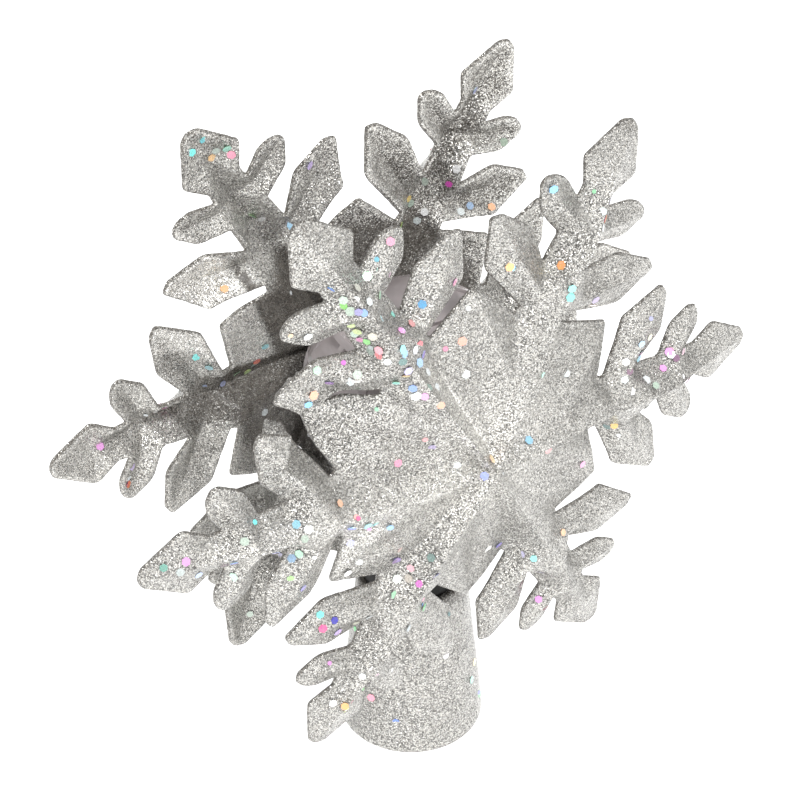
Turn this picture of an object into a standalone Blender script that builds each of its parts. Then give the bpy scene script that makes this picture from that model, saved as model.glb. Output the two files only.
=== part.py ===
"""Light-up snowflake tree topper.

Two open-backed snowflake shells face away from each other.  Between them a
clear faceted lens ball turns over a small group of LEDs, driven by a gear
motor in a black drum.  The drum plugs into a tapered socket that slips over
the tip of a tree.

Frame: metres, +Z up, the front snowflake faces -Y, left is -X.  The origin is
the centre of the flat rim that the socket stands on.
"""
import bpy
import bmesh
import math
from mathutils import Vector, Matrix
from mathutils.geometry import delaunay_2d_cdt

# ------------------------------------------------- shared dimensions (metres)
GAP = 0.0003                    # clearance between neighbouring pieces
WELD = 0.00005                  # points closer than this are merged
SIDES = (("left", -1), ("right", 1))

FLAKE_R = 0.100                 # snowflake centre to arm tip
FLAKE_Z = 0.119                 # snowflake centre above the socket's rim

SOCKET_H = 0.056

DRUM_R = 0.0150
DRUM_T = 0.0015
DRUM_Z0 = SOCKET_H + GAP
DRUM_Z1 = 0.0885                # open top edge of the drum
DRUM_FIT_R = DRUM_R - DRUM_T - GAP   # what fits inside the drum's wall
PLUG_R = 0.0125                 # neck of the drum, inside the socket
EAR_DEPTH = 0.0030              # fixing ear of the drum, along Y

CAP_Z0 = DRUM_Z1 + GAP
CAP_T = 0.0020

# fixing bosses sit under the two lower arms
BOSS_REACH = 0.39 * FLAKE_R
BOSS_X = BOSS_REACH * math.cos(math.radians(60))
BOSS_Z = FLAKE_Z - BOSS_REACH * math.sin(math.radians(60))
FIXING_HOLE_R = 0.0017
COUNTERBORE_Y = 0.0140          # floor of the counterbores in the rear bosses

POWER_SIZE = (0.0090, 0.0075, 0.0070)
POWER_Z = 0.0640

BOARD_T = 0.0012
BOARD_Z0 = DRUM_Z0 + DRUM_T + GAP

MODULE = 0.0005
PINION_TEETH = 8
GEAR_TEETH = 24
MOTOR_X = MODULE * GEAR_TEETH / 2 + MODULE * PINION_TEETH / 2
GEAR_Z0 = 0.0840
GEAR_T = 0.0027
MOTOR_Z0 = 0.0670
MOTOR_Z1 = 0.0805
MOTOR_SCREW_Y = 0.0034          # motor screws, either side of the shaft

PLATE_T = 0.0012
PLATE_Z0 = MOTOR_Z1 + GAP
PLATE_Z1 = PLATE_Z0 + PLATE_T
WASHER_Z0 = PLATE_Z1 + GAP
WASHER_Z1 = WASHER_Z0 + 0.0008

BALL_R = 0.0315
BALL_Z = 0.1240                 # centre of the lens ball
BALL_T = 0.0014
BALL_OPEN_R = 0.0110            # opening in the bottom of the ball
BALL_LOW_Z = BALL_Z - math.sqrt(BALL_R ** 2 - BALL_OPEN_R ** 2)
SLEEVE_R = 0.0046               # sleeve of the lens carrier

POST_R = 0.0020
POST_BORE_R = 0.0012
POST_Z0 = BOARD_Z0 + BOARD_T + GAP
POST_Z1 = 0.1120
LED_BOARD_T = 0.0014
LED_BOARD_Z0 = POST_Z1 + GAP


# ------------------------------------------------------------------- helpers
def clear_scene():
    for obj in list(bpy.data.objects):
        bpy.data.objects.remove(obj, do_unlink=True)
    for collection in list(bpy.data.collections):
        bpy.data.collections.remove(collection)


def scene_collection(name):
    collection = bpy.data.collections.new(name)
    bpy.context.scene.collection.children.link(collection)
    return collection


clear_scene()
PARTS = scene_collection("snowflake_tree_topper")
TOOLS = scene_collection("cutters")


def material(name, colour, roughness, metallic=0.0, transmission=0.0):
    mat = bpy.data.materials.new(name)
    mat.use_nodes = True
    inputs = mat.node_tree.nodes["Principled BSDF"].inputs
    inputs["Base Color"].default_value = (*colour, 1.0)
    inputs["Roughness"].default_value = roughness
    inputs["Metallic"].default_value = metallic
    inputs["Transmission Weight"].default_value = transmission
    mat.diffuse_color = (*colour, 1.0)
    return mat


def add_mesh(name, shape, mat, smooth=False):
    """Turn a bmesh into an object, and free the bmesh."""
    mesh = bpy.data.meshes.new(name)
    shape.to_mesh(mesh)
    shape.free()
    obj = bpy.data.objects.new(name, mesh)
    PARTS.objects.link(obj)
    if mat is not None:
        mesh.materials.append(mat)
    if smooth:
        mesh.shade_smooth()
        mesh.set_sharp_from_angle(angle=math.radians(35))
    return obj


def boolean(obj, tool, operation):
    """Apply tool to obj, and put the tool away as a hidden helper."""
    PARTS.objects.unlink(tool)
    TOOLS.objects.link(tool)
    tool.hide_render = True
    tool.display_type = 'WIRE'
    mod = obj.modifiers.new(operation.title(), 'BOOLEAN')
    mod.operation = operation
    mod.solver = 'EXACT'
    mod.object = tool


def join(obj, tool):
    boolean(obj, tool, 'UNION')


def cut(obj, tool):
    boolean(obj, tool, 'DIFFERENCE')


def cylinder(name, radius, depth, location, sides, mat=None, axis='Z'):
    """Round bar along Z or Y, centred on location."""
    shape = bmesh.new()
    bmesh.ops.create_cone(shape, cap_ends=True, segments=sides,
                          radius1=radius, radius2=radius, depth=depth)
    if axis == 'Y':
        bmesh.ops.rotate(shape, verts=shape.verts, cent=(0, 0, 0),
                         matrix=Matrix.Rotation(math.radians(90), 3, 'X'))
    obj = add_mesh(name, shape, mat, smooth=True)
    obj.location = location
    return obj


def box(name, size, location, mat=None):
    shape = bmesh.new()
    bmesh.ops.create_cube(shape, size=1.0)
    bmesh.ops.scale(shape, vec=Vector(size), verts=shape.verts)
    obj = add_mesh(name, shape, mat)
    obj.location = location
    return obj


def turned(name, profile, mat, steps, location=(0, 0, 0)):
    """Profile of (radius, height) points turned about Z; runs top to bottom
    on the outer side and back up the inner side.  A profile that starts and
    ends on the axis is left open there."""
    shape = bmesh.new()
    verts = [shape.verts.new((radius, 0, z)) for radius, z in profile]
    for start, end in zip(verts, verts[1:]):
        shape.edges.new((start, end))
    if profile[0][0] != 0 or profile[-1][0] != 0:
        shape.edges.new((verts[-1], verts[0]))
    obj = add_mesh(name, shape, mat, smooth=True)
    mod = obj.modifiers.new("Screw", 'SCREW')
    mod.axis = 'Z'
    mod.steps = steps
    mod.render_steps = steps
    mod.use_merge_vertices = True
    mod.merge_threshold = WELD
    mod.use_smooth_shade = True
    obj.location = location
    return obj


# ----------------------------------------------------------------- materials
GLITTER = material("silver_glitter_plastic", (0.52, 0.51, 0.49),
                   roughness=0.45, metallic=0.2)
BLACK = material("black_plastic", (0.02, 0.02, 0.022), roughness=0.45)
CLEAR = material("clear_lens_plastic", (0.80, 0.77, 0.78),
                 roughness=0.08, transmission=0.9)
NYLON = material("white_nylon", (0.85, 0.84, 0.80), roughness=0.45)
STEEL = material("bright_steel", (0.62, 0.62, 0.63),
                 roughness=0.28, metallic=1.0)
BOARD = material("green_circuit_board", (0.03, 0.17, 0.07), roughness=0.4)
SHEATH = material("grey_cable_sheath", (0.18, 0.18, 0.19), roughness=0.5)
LED_COLOURS = [("red", (0.75, 0.06, 0.05)), ("green", (0.08, 0.6, 0.14)),
               ("blue", (0.06, 0.14, 0.75)), ("white", (0.88, 0.88, 0.82))]

# ---------------------------------------------------------- snowflake shells
SHELL_T = 0.0015
BOSS_Y0 = EAR_DEPTH / 2 + GAP   # inner end of the bosses, clear of the ears

# Half of one arm, in fractions of FLAKE_R.  Columns: distance along the arm,
# distance to its side, height of the surface above the middle plane.
OUTLINE = [
    (0.995, 0.000, 0.268), (0.985, 0.025, 0.268), (0.868, 0.096, 0.272),
    (0.797, 0.057, 0.276), (0.762, 0.060, 0.278), (0.792, 0.130, 0.278),
    (0.793, 0.165, 0.278), (0.783, 0.190, 0.279), (0.765, 0.197, 0.279),
    (0.701, 0.158, 0.281), (0.656, 0.069, 0.284), (0.571, 0.074, 0.285),
    (0.644, 0.172, 0.290), (0.655, 0.292, 0.293), (0.640, 0.318, 0.293),
    (0.516, 0.253, 0.290), (0.441, 0.092, 0.282), (0.418, 0.100, 0.280),
]
# Ridge of the arm, hub to tip.  Columns: distance along the arm, height.
CREST = [
    (0.000, 0.420), (0.110, 0.413), (0.260, 0.392), (0.450, 0.371),
    (0.600, 0.367), (0.690, 0.357), (0.780, 0.325), (0.868, 0.303),
    (0.950, 0.284),
]
HEX_R, HEX_HEIGHT = 0.517, 0.287      # corner of the hexagonal centre
# The points below have the columns of OUTLINE.
HUB_FOOT = (0.052, 0.030, 0.370)      # where two ridges meet beside the hub
# The ridge falls off steeply on its clockwise side, seen from outside, and
# runs gently into the petal on the other, so the centre looks like a pinwheel.
STEEP_FOOT = [(0.250, 0.045, 0.331), (0.385, 0.062, 0.291)]
EASY_FOOT = [(0.250, 0.045, 0.370), (0.385, 0.062, 0.340)]
LARGE_BRANCH = [(0.506, 0.083, 0.335), (0.580, 0.213, 0.318)]
SMALL_BRANCH = [(0.709, 0.065, 0.312), (0.747, 0.144, 0.298)]


def half_arm(foot):
    """One twelfth of the snowflake: (along, across, height) points, faces."""
    corner = (HEX_R * math.cos(math.radians(30)),
              HEX_R * math.sin(math.radians(30)), HEX_HEIGHT)
    crest = [(along, 0.0, height) for along, height in CREST]
    points = crest + OUTLINE + [corner, HUB_FOOT]
    count = len(points)
    edges = [(i, (i + 1) % count) for i in range(count)]
    # crease lines: index of the start, inner points, index in OUTLINE
    for start, line, end in ((count - 1, foot, 17),
                             (3, LARGE_BRANCH, 14),
                             (5, SMALL_BRANCH, 7)):
        first = len(points)
        points += line
        edges += [(start, first), (first, first + 1),
                  (first + 1, len(crest) + end)]
    result = delaunay_2d_cdt([Vector(point[:2]) for point in points], edges,
                             [list(range(count))], 1, 1e-6)
    flat_verts, faces, origins = result[0], result[2], result[3]
    heights = [points[origin[0]][2] for origin in origins]
    return [(v.x, v.y, height) for v, height in zip(flat_verts, heights)], faces


def snowflake(name, side, boss_r, boss_top):
    """side -1: front shell, +1: rear shell, the same moulding turned round
    the vertical."""
    halves = {1: half_arm(EASY_FOOT), -1: half_arm(STEEP_FOOT)}
    shape = bmesh.new()
    for arm in range(6):
        turn = math.radians(60 * arm)
        for flip, (points, faces) in halves.items():
            verts = []
            for along, across, height in points:
                x = along * math.cos(turn) - flip * across * math.sin(turn)
                z = along * math.sin(turn) + flip * across * math.cos(turn)
                verts.append(shape.verts.new((-side * FLAKE_R * x,
                                              side * FLAKE_R * height,
                                              FLAKE_Z + FLAKE_R * z)))
            for face in faces:
                order = face if flip == 1 else face[::-1]
                shape.faces.new([verts[i] for i in order])
    bmesh.ops.remove_doubles(shape, verts=shape.verts, dist=WELD)
    bmesh.ops.recalc_face_normals(shape, faces=shape.faces)
    # every face looks outward, away from the middle plane
    if sum(f.normal.y * f.calc_area() for f in shape.faces) * side < 0:
        bmesh.ops.reverse_faces(shape, faces=shape.faces)
    obj = add_mesh(name, shape, GLITTER)
    mod = obj.modifiers.new("Solidify", 'SOLIDIFY')
    mod.thickness = SHELL_T
    mod.offset = -1.0
    mod.use_even_offset = True
    mod.thickness_clamp = 0.0
    # two bosses reach in from the lower arms to the drum's ears; their outer
    # ends lie inside the sloping walls of the ridge
    for tag, hand in SIDES:
        join(obj, cylinder(
            f"{name}_{tag}_boss", boss_r, boss_top - BOSS_Y0,
            (hand * BOSS_X, side * (boss_top + BOSS_Y0) / 2, BOSS_Z),
            sides=16, axis='Y'))
    return obj


def front_shell():
    """Its bosses have blind pilot holes."""
    pilot_r, pilot_depth = 0.00145, 0.020
    shell = snowflake("front_snowflake_shell", -1, boss_r=0.0030,
                      boss_top=0.0333)
    for tag, hand in SIDES:
        cut(shell, cylinder(f"front_{tag}_pilot", pilot_r, pilot_depth,
                            (hand * BOSS_X, -pilot_depth / 2, BOSS_Z),
                            sides=12, axis='Y'))


def rear_shell():
    """Its bosses have clearance holes and deep counterbores."""
    hole_length, hole_y = 0.030, 0.010
    bore_r, bore_length = 0.0029, 0.040
    shell = snowflake("rear_snowflake_shell", 1, boss_r=0.0040,
                      boss_top=0.0318)
    for tag, hand in SIDES:
        x = hand * BOSS_X
        cut(shell, cylinder(f"rear_{tag}_hole", FIXING_HOLE_R, hole_length,
                            (x, hole_y, BOSS_Z), sides=12, axis='Y'))
        cut(shell, cylinder(f"rear_{tag}_counterbore", bore_r, bore_length,
                            (x, COUNTERBORE_Y + bore_length / 2, BOSS_Z),
                            sides=16, axis='Y'))


# ------------------------------------------------------------ socket and drum
def tree_socket():
    bottom_r, top_r = 0.02166, 0.01571
    wall = 0.0016
    web = 0.0016                # flat ring at the top, round the drum's plug
    taper = (bottom_r - top_r) / SOCKET_H
    turned("tree_socket_cone", [
        (top_r, SOCKET_H),
        (bottom_r, 0.0),
        (bottom_r - wall, 0.0),
        (top_r + taper * web - wall, SOCKET_H - web),
        (PLUG_R + GAP, SOCKET_H - web),
        (PLUG_R + GAP, SOCKET_H),
    ], GLITTER, steps=48)


def base_drum():
    """Drum with two fixing ears, open at the top and through its plug."""
    plug_z0, plug_wall = 0.0500, 0.0018
    ear_width, ear_height = 0.0100, 0.0084
    ear_overlap = 0.0012        # how far an ear runs into the drum
    ear_drop = 0.0001           # top of the ears below the drum's edge
    window_depth, window_inset = 0.0100, 0.0010
    drum = turned("base_drum", [
        (DRUM_R, DRUM_Z1),
        (DRUM_R, DRUM_Z0),
        (PLUG_R, DRUM_Z0),
        (PLUG_R, plug_z0),
        (PLUG_R - plug_wall, plug_z0),
        (PLUG_R - plug_wall, DRUM_Z0 + DRUM_T),
        (DRUM_R - DRUM_T, DRUM_Z0 + DRUM_T),
        (DRUM_R - DRUM_T, DRUM_Z1),
    ], BLACK, steps=40)
    for tag, hand in SIDES:
        join(drum, box(f"drum_{tag}_ear", (ear_width, EAR_DEPTH, ear_height),
                       (hand * (DRUM_R - ear_overlap + ear_width / 2), 0,
                        DRUM_Z1 - ear_drop - ear_height / 2)))
    for tag, hand in SIDES:
        cut(drum, cylinder(f"drum_{tag}_ear_hole", FIXING_HOLE_R, 0.010,
                           (hand * BOSS_X, 0, BOSS_Z), sides=12, axis='Y'))
    # window for the power socket, at the back
    cut(drum, box("socket_window",
                  (POWER_SIZE[0] + 2 * GAP, window_depth,
                   POWER_SIZE[2] + 2 * GAP),
                  (0, DRUM_R - window_inset, POWER_Z)))


def drum_cap():
    """Flat ring with a lip that drops inside the drum's wall."""
    bore_r = 0.0060
    lip_t, lip_depth = 0.0012, 0.0012
    turned("drum_cap", [
        (DRUM_R, CAP_Z0 + CAP_T),
        (DRUM_R, CAP_Z0),
        (DRUM_FIT_R, CAP_Z0),
        (DRUM_FIT_R, CAP_Z0 - lip_depth),
        (DRUM_FIT_R - lip_t, CAP_Z0 - lip_depth),
        (DRUM_FIT_R - lip_t, CAP_Z0),
        (bore_r, CAP_Z0),
        (bore_r, CAP_Z0 + CAP_T),
    ], BLACK, steps=40)


# ------------------------------------------------------- parts in the drum
def control_board():
    cylinder("control_board", 0.0131, BOARD_T,
             (0, 0, BOARD_Z0 + BOARD_T / 2), sides=32, mat=BOARD)


def power_socket():
    inset = 0.0002              # rear face inside the drum's radius
    bore_r, bore_length = 0.0024, 0.0130
    bore_y = DRUM_R + 0.0015    # middle of the bore's cutter
    socket = box("power_socket", POWER_SIZE,
                 (0, DRUM_R - POWER_SIZE[1] / 2 - inset, POWER_Z), BLACK)
    cut(socket, cylinder("power_socket_bore", bore_r, bore_length,
                         (0, bore_y, POWER_Z), sides=20, axis='Y'))


def gear_motor():
    cylinder("gear_motor", 0.0049, MOTOR_Z1 - MOTOR_Z0,
             (MOTOR_X, 0, (MOTOR_Z0 + MOTOR_Z1) / 2), sides=28, mat=STEEL)


def motor_plate():
    plate = cylinder("motor_plate", DRUM_FIT_R, PLATE_T,
                     (0, 0, PLATE_Z0 + PLATE_T / 2), sides=32, mat=BLACK)
    # columns: cutter name, x, y, radius, sides
    for name, x, y, radius, sides in (
            ("plate_shaft_hole", MOTOR_X, 0, 0.0011, 16),
            ("plate_post_hole", 0, 0, POST_R + GAP, 16),
            ("plate_screw_hole_1", MOTOR_X, MOTOR_SCREW_Y, 0.0010, 12),
            ("plate_screw_hole_2", MOTOR_X, -MOTOR_SCREW_Y, 0.0010, 12)):
        cut(plate, cylinder(name, radius, 0.006, (x, y, PLATE_Z0), sides))


# -------------------------------------------------------------------- gears
def gear(name, teeth, mat, x=0, phase=0.0):
    """Spur gear with flat-sided teeth, its axis on Z through its origin;
    phase turns the first tooth away from +X."""
    pitch = MODULE * teeth / 2
    tip = pitch + 0.75 * MODULE
    root = pitch - 1.05 * MODULE
    step = 2 * math.pi / teeth
    # radius, angle from the middle of the tooth in tooth steps
    tooth = [(root, -0.30), (pitch, -0.20), (tip, -0.096),
             (tip, 0.096), (pitch, 0.20), (root, 0.30)]
    shape = bmesh.new()
    lower = []
    for k in range(teeth):
        for radius, offset in tooth:
            angle = k * step + phase + offset * step
            lower.append(shape.verts.new((radius * math.cos(angle),
                                          radius * math.sin(angle), 0)))
    face = shape.faces.new(lower)
    face.normal_update()
    if face.normal.z > 0:
        face.normal_flip()
    extruded = bmesh.ops.extrude_face_region(shape, geom=[face],
                                             use_keep_orig=True)
    moved = [item for item in extruded['geom']
             if isinstance(item, bmesh.types.BMVert)]
    bmesh.ops.translate(shape, verts=moved, vec=(0, 0, GEAR_T))
    bmesh.ops.recalc_face_normals(shape, faces=shape.faces)
    obj = add_mesh(name, shape, mat)
    obj.location = (x, 0, GEAR_Z0)
    return obj


def drive_gear():
    wheel = gear("drive_gear", GEAR_TEETH, NYLON)
    cut(wheel, cylinder("drive_gear_bore", SLEEVE_R + GAP, GEAR_T * 3,
                        (0, 0, GEAR_Z0 + GEAR_T / 2), sides=24))


def motor_pinion():
    """Small gear with a shaft from its middle down to the plate's underside;
    a gap between two of its teeth faces a tooth of the large gear."""
    pinion = gear("motor_pinion", PINION_TEETH, STEEL, x=MOTOR_X,
                  phase=math.pi / PINION_TEETH)
    shaft_z1 = GEAR_Z0 + GEAR_T / 2
    shaft_length = shaft_z1 - PLATE_Z0
    join(pinion, cylinder("motor_pinion_shaft", 0.0007, shaft_length,
                          (MOTOR_X, 0, shaft_z1 - shaft_length / 2),
                          sides=12))


# ---------------------------------------------- the turning lens and its post
def thrust_washer():
    outer_r, inner_r = 0.0052, 0.0026
    turned("thrust_washer", [
        (outer_r, WASHER_Z1), (outer_r, WASHER_Z0),
        (inner_r, WASHER_Z0), (inner_r, WASHER_Z1),
    ], STEEL, steps=24)


def lens_carrier():
    """Sleeve round the post, opening into a dish with a collar that stands
    in the ball's opening."""
    collar_r, collar_inner_r = 0.0090, 0.0078
    collar_z1 = BALL_LOW_Z + 0.0030
    rim_r = 0.0120
    rim_z0, rim_z1 = BALL_LOW_Z - 0.0018, BALL_LOW_Z - 0.0004
    floor_z = BALL_LOW_Z + 0.0004
    dish_z0 = CAP_Z0 + CAP_T + 2 * GAP
    dish_foot_r = SLEEVE_R + 0.0016
    sleeve_z0 = WASHER_Z1 + GAP
    bore_r = 0.0030
    turned("lens_carrier", [
        (collar_r, collar_z1),
        (collar_r, rim_z1),
        (rim_r, rim_z1),
        (rim_r, rim_z0),
        (dish_foot_r, dish_z0),
        (SLEEVE_R, dish_z0),
        (SLEEVE_R, sleeve_z0),
        (bore_r, sleeve_z0),
        (bore_r, floor_z),
        (collar_inner_r, floor_z),
        (collar_inner_r, collar_z1),
    ], NYLON, steps=32)


def light_post():
    turned("light_post", [
        (POST_R, POST_Z1), (POST_R, POST_Z0),
        (POST_BORE_R, POST_Z0), (POST_BORE_R, POST_Z1),
    ], STEEL, steps=20)


def led_board():
    cylinder("led_board", 0.0095, LED_BOARD_T,
             (0, 0, LED_BOARD_Z0 + LED_BOARD_T / 2), sides=28, mat=BOARD)


# columns: radius, height above the LED's base
LED_PROFILE = [
    (0.0, 0.0062), (0.0011, 0.0059), (0.0020, 0.0050), (0.0024, 0.0038),
    (0.0024, 0.0010), (0.0028, 0.0010), (0.0028, 0.0), (0.0, 0.0),
]


def leds():
    """Four domed LEDs in a ring on the upper board."""
    ring_r = 0.0055
    base_z = LED_BOARD_Z0 + LED_BOARD_T + GAP
    profile = [(radius, base_z + height) for radius, height in LED_PROFILE]
    for i, (tag, colour) in enumerate(LED_COLOURS):
        name = f"led_{tag}"
        angle = math.radians(45 + 90 * i)
        turned(name, profile, material(name, colour, roughness=0.12),
               steps=18, location=(ring_r * math.cos(angle),
                                   ring_r * math.sin(angle), 0))


def arc(radius, start, end, steps):
    """(radius, height) points of a circle, between two angles in degrees."""
    angles = [math.radians(start + (end - start) * i / steps)
              for i in range(steps + 1)]
    return [(radius * math.cos(a), radius * math.sin(a)) for a in angles]


def lens_ball():
    """Two hollow halves that meet at the ball's equator."""
    inner_r = BALL_R - BALL_T
    half_seam = 0.00015
    upper = arc(BALL_R, 90, 0, 8) + arc(inner_r, 0, 90, 8)
    # the ends lie exactly on the axis
    upper[0] = (0.0, BALL_R)
    upper[-1] = (0.0, inner_r)
    open_angle = -math.degrees(math.acos(BALL_OPEN_R / BALL_R))
    inner_open_angle = -math.degrees(math.acos(BALL_OPEN_R / inner_r))
    lower = arc(BALL_R, 0, open_angle, 7) + arc(inner_r, inner_open_angle, 0, 7)
    for tag, profile, shift in (("upper", upper, half_seam),
                                ("lower", lower, -half_seam)):
        turned(f"lens_ball_{tag}", [(r, z + shift) for r, z in profile],
               CLEAR, steps=36, location=(0, 0, BALL_Z))


# --------------------------------------------------------------------- leads
def lead(name, points, radius):
    """Round cable along a poly line, with its caps welded."""
    curve = bpy.data.curves.new(name, 'CURVE')
    curve.dimensions = '3D'
    curve.bevel_depth = radius
    curve.bevel_resolution = 2
    curve.use_fill_caps = True
    spline = curve.splines.new('POLY')
    spline.points.add(len(points) - 1)
    for spline_point, point in zip(spline.points, points):
        spline_point.co = (*point, 1.0)
    path = bpy.data.objects.new(name + "_path", curve)
    PARTS.objects.link(path)
    bpy.context.view_layer.update()
    depsgraph = bpy.context.evaluated_depsgraph_get()
    mesh = bpy.data.meshes.new_from_object(path.evaluated_get(depsgraph))
    bpy.data.objects.remove(path, do_unlink=True)
    shape = bmesh.new()
    shape.from_mesh(mesh)
    bmesh.ops.remove_doubles(shape, verts=shape.verts, dist=0.00001)
    shape.to_mesh(mesh)
    shape.free()
    PARTS.objects.link(bpy.data.objects.new(name, mesh))
    mesh.materials.clear()
    mesh.materials.append(SHEATH)
    mesh.shade_smooth()


def led_lead():
    """Runs straight up inside the post."""
    inset = 0.0004              # ends short of the post's ends
    lead("led_lead", [(0, 0, POST_Z0 + inset), (0, 0, 0.080),
                      (0, 0, POST_Z1 - inset)], 0.0008)


def motor_lead():
    """Rises from the control board, behind the motor's axis."""
    y = 0.0055
    foot_x, top_x = MOTOR_X - 0.0045, MOTOR_X - 0.0062
    lead("motor_lead", [(foot_x, y, BOARD_Z0 + BOARD_T + GAP),
                        (top_x, y, 0.0665), (top_x, y, 0.0800)], 0.0006)


# ----------------------------------------------------------------- fasteners
def screw(name, head_r, head_h, shank_r, shank_length, location):
    """Pan-head screw, head up; its head's underside is at location."""
    return turned(name, [
        (0.0, head_h), (head_r * 0.7, head_h * 0.92),
        (head_r, head_h * 0.45), (head_r, 0.0), (shank_r, 0.0),
        (shank_r, -shank_length * 0.9), (0.0, -shank_length),
    ], STEEL, steps=16, location=location)


def shell_screws():
    """Go in from the back, through the ears, into the front bosses."""
    for tag, hand in SIDES:
        obj = screw(f"shell_screw_{tag}", head_r=0.0025, head_h=0.0018,
                    shank_r=0.0011, shank_length=0.0240,
                    location=(hand * BOSS_X, COUNTERBORE_Y + GAP, BOSS_Z))
        obj.rotation_euler = (math.radians(-90), 0, 0)


def motor_screws():
    for i, y in enumerate((MOTOR_SCREW_Y, -MOTOR_SCREW_Y), 1):
        screw(f"motor_screw_{i}", head_r=0.0014, head_h=0.0008,
              shank_r=0.0007, shank_length=0.0010,
              location=(MOTOR_X, y, PLATE_Z1 + GAP))


# --------------------------------------------------------------------- build
for build in (front_shell, rear_shell, tree_socket, base_drum, drum_cap,
              control_board, power_socket, gear_motor, motor_plate,
              drive_gear, motor_pinion, thrust_washer, lens_carrier,
              light_post, led_board, leds, led_lead, motor_lead, lens_ball,
              shell_screws, motor_screws):
    build()
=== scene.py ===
# A lighted snowflake tree topper.  Z is up and the base of the socket cone stands on z = 0.
# The snowflake is two open shells, back to back about the XZ plane: the front one faces -Y,
# the rear one +Y.  The faceted lens ball is centred on the Z axis.  All lengths are metres
# unless a comment says they are shares of the snowflake's radius.
import math
import random

import bmesh
import bpy
import numpy as np
from mathutils import Matrix, Vector, noise
from mathutils.geometry import delaunay_2d_cdt


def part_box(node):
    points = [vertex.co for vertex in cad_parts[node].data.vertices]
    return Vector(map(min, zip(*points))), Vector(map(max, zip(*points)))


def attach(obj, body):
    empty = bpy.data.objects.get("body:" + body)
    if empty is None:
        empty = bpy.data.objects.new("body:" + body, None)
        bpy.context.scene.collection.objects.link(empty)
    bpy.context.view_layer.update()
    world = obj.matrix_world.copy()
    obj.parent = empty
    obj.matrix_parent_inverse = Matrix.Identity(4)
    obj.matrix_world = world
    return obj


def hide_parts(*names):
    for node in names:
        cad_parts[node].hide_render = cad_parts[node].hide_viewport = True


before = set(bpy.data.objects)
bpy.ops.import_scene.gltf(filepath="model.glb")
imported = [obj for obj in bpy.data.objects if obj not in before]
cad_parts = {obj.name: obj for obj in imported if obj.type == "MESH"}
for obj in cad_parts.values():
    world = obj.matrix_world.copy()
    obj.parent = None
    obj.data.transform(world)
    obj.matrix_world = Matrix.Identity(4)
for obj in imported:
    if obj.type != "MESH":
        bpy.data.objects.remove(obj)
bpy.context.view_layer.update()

ROOT, BALL = "topper_body", "lens_ball"
COLLECTION = bpy.context.scene.collection
FRONT, REAR = -1, 1                  # a shell's side, as the sign of its Y

# ---------------------------------------------------------------- driving sizes
TIP = 0.995                          # reach of an arm's drawn tip, share of RADIUS
shell_low, shell_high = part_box("front_snowflake_shell")
RADIUS = (shell_high[0] - shell_low[0]) / 2 / TIP
CENTRE_Z = (shell_low[2] + shell_high[2]) / 2
cone_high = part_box("tree_socket_cone")[1]
CONE_HEIGHT = cone_high[2]
ball_low, ball_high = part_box("lens_ball_upper")
BALL_RADIUS = (ball_high[0] - ball_low[0]) / 2
BALL_Z = ball_high[2] - BALL_RADIUS


# ---------------------------------------------------------------- mesh helpers
def new_object(name, verts, faces, material=None, smooth=True, body=ROOT):
    mesh = bpy.data.meshes.new(name)
    mesh.from_pydata([tuple(vert) for vert in verts], [], [tuple(face) for face in faces])
    mesh.validate()
    mesh.update()
    obj = bpy.data.objects.new(name, mesh)
    COLLECTION.objects.link(obj)
    if material:
        mesh.materials.append(material)
    if smooth:
        mesh.shade_smooth()
    if body:
        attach(obj, body)
    return obj


def face_outwards(mesh):
    bm = bmesh.new()
    bm.from_mesh(mesh)
    bmesh.ops.recalc_face_normals(bm, faces=bm.faces)
    if bm.calc_volume(signed=True) < 0:
        bmesh.ops.reverse_faces(bm, faces=bm.faces)
    bm.to_mesh(mesh)
    bm.free()


def set_cover_and_painted_light(mesh, values):
    """Store how thickly the flakes lie, with painted shade and painted light mixed in, which the
    glitter material reads.
    """
    attribute = mesh.attributes.new("cover_and_painted_light", 'FLOAT', 'POINT')
    attribute.data.foreach_set("value", values.astype(np.float32))


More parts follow.
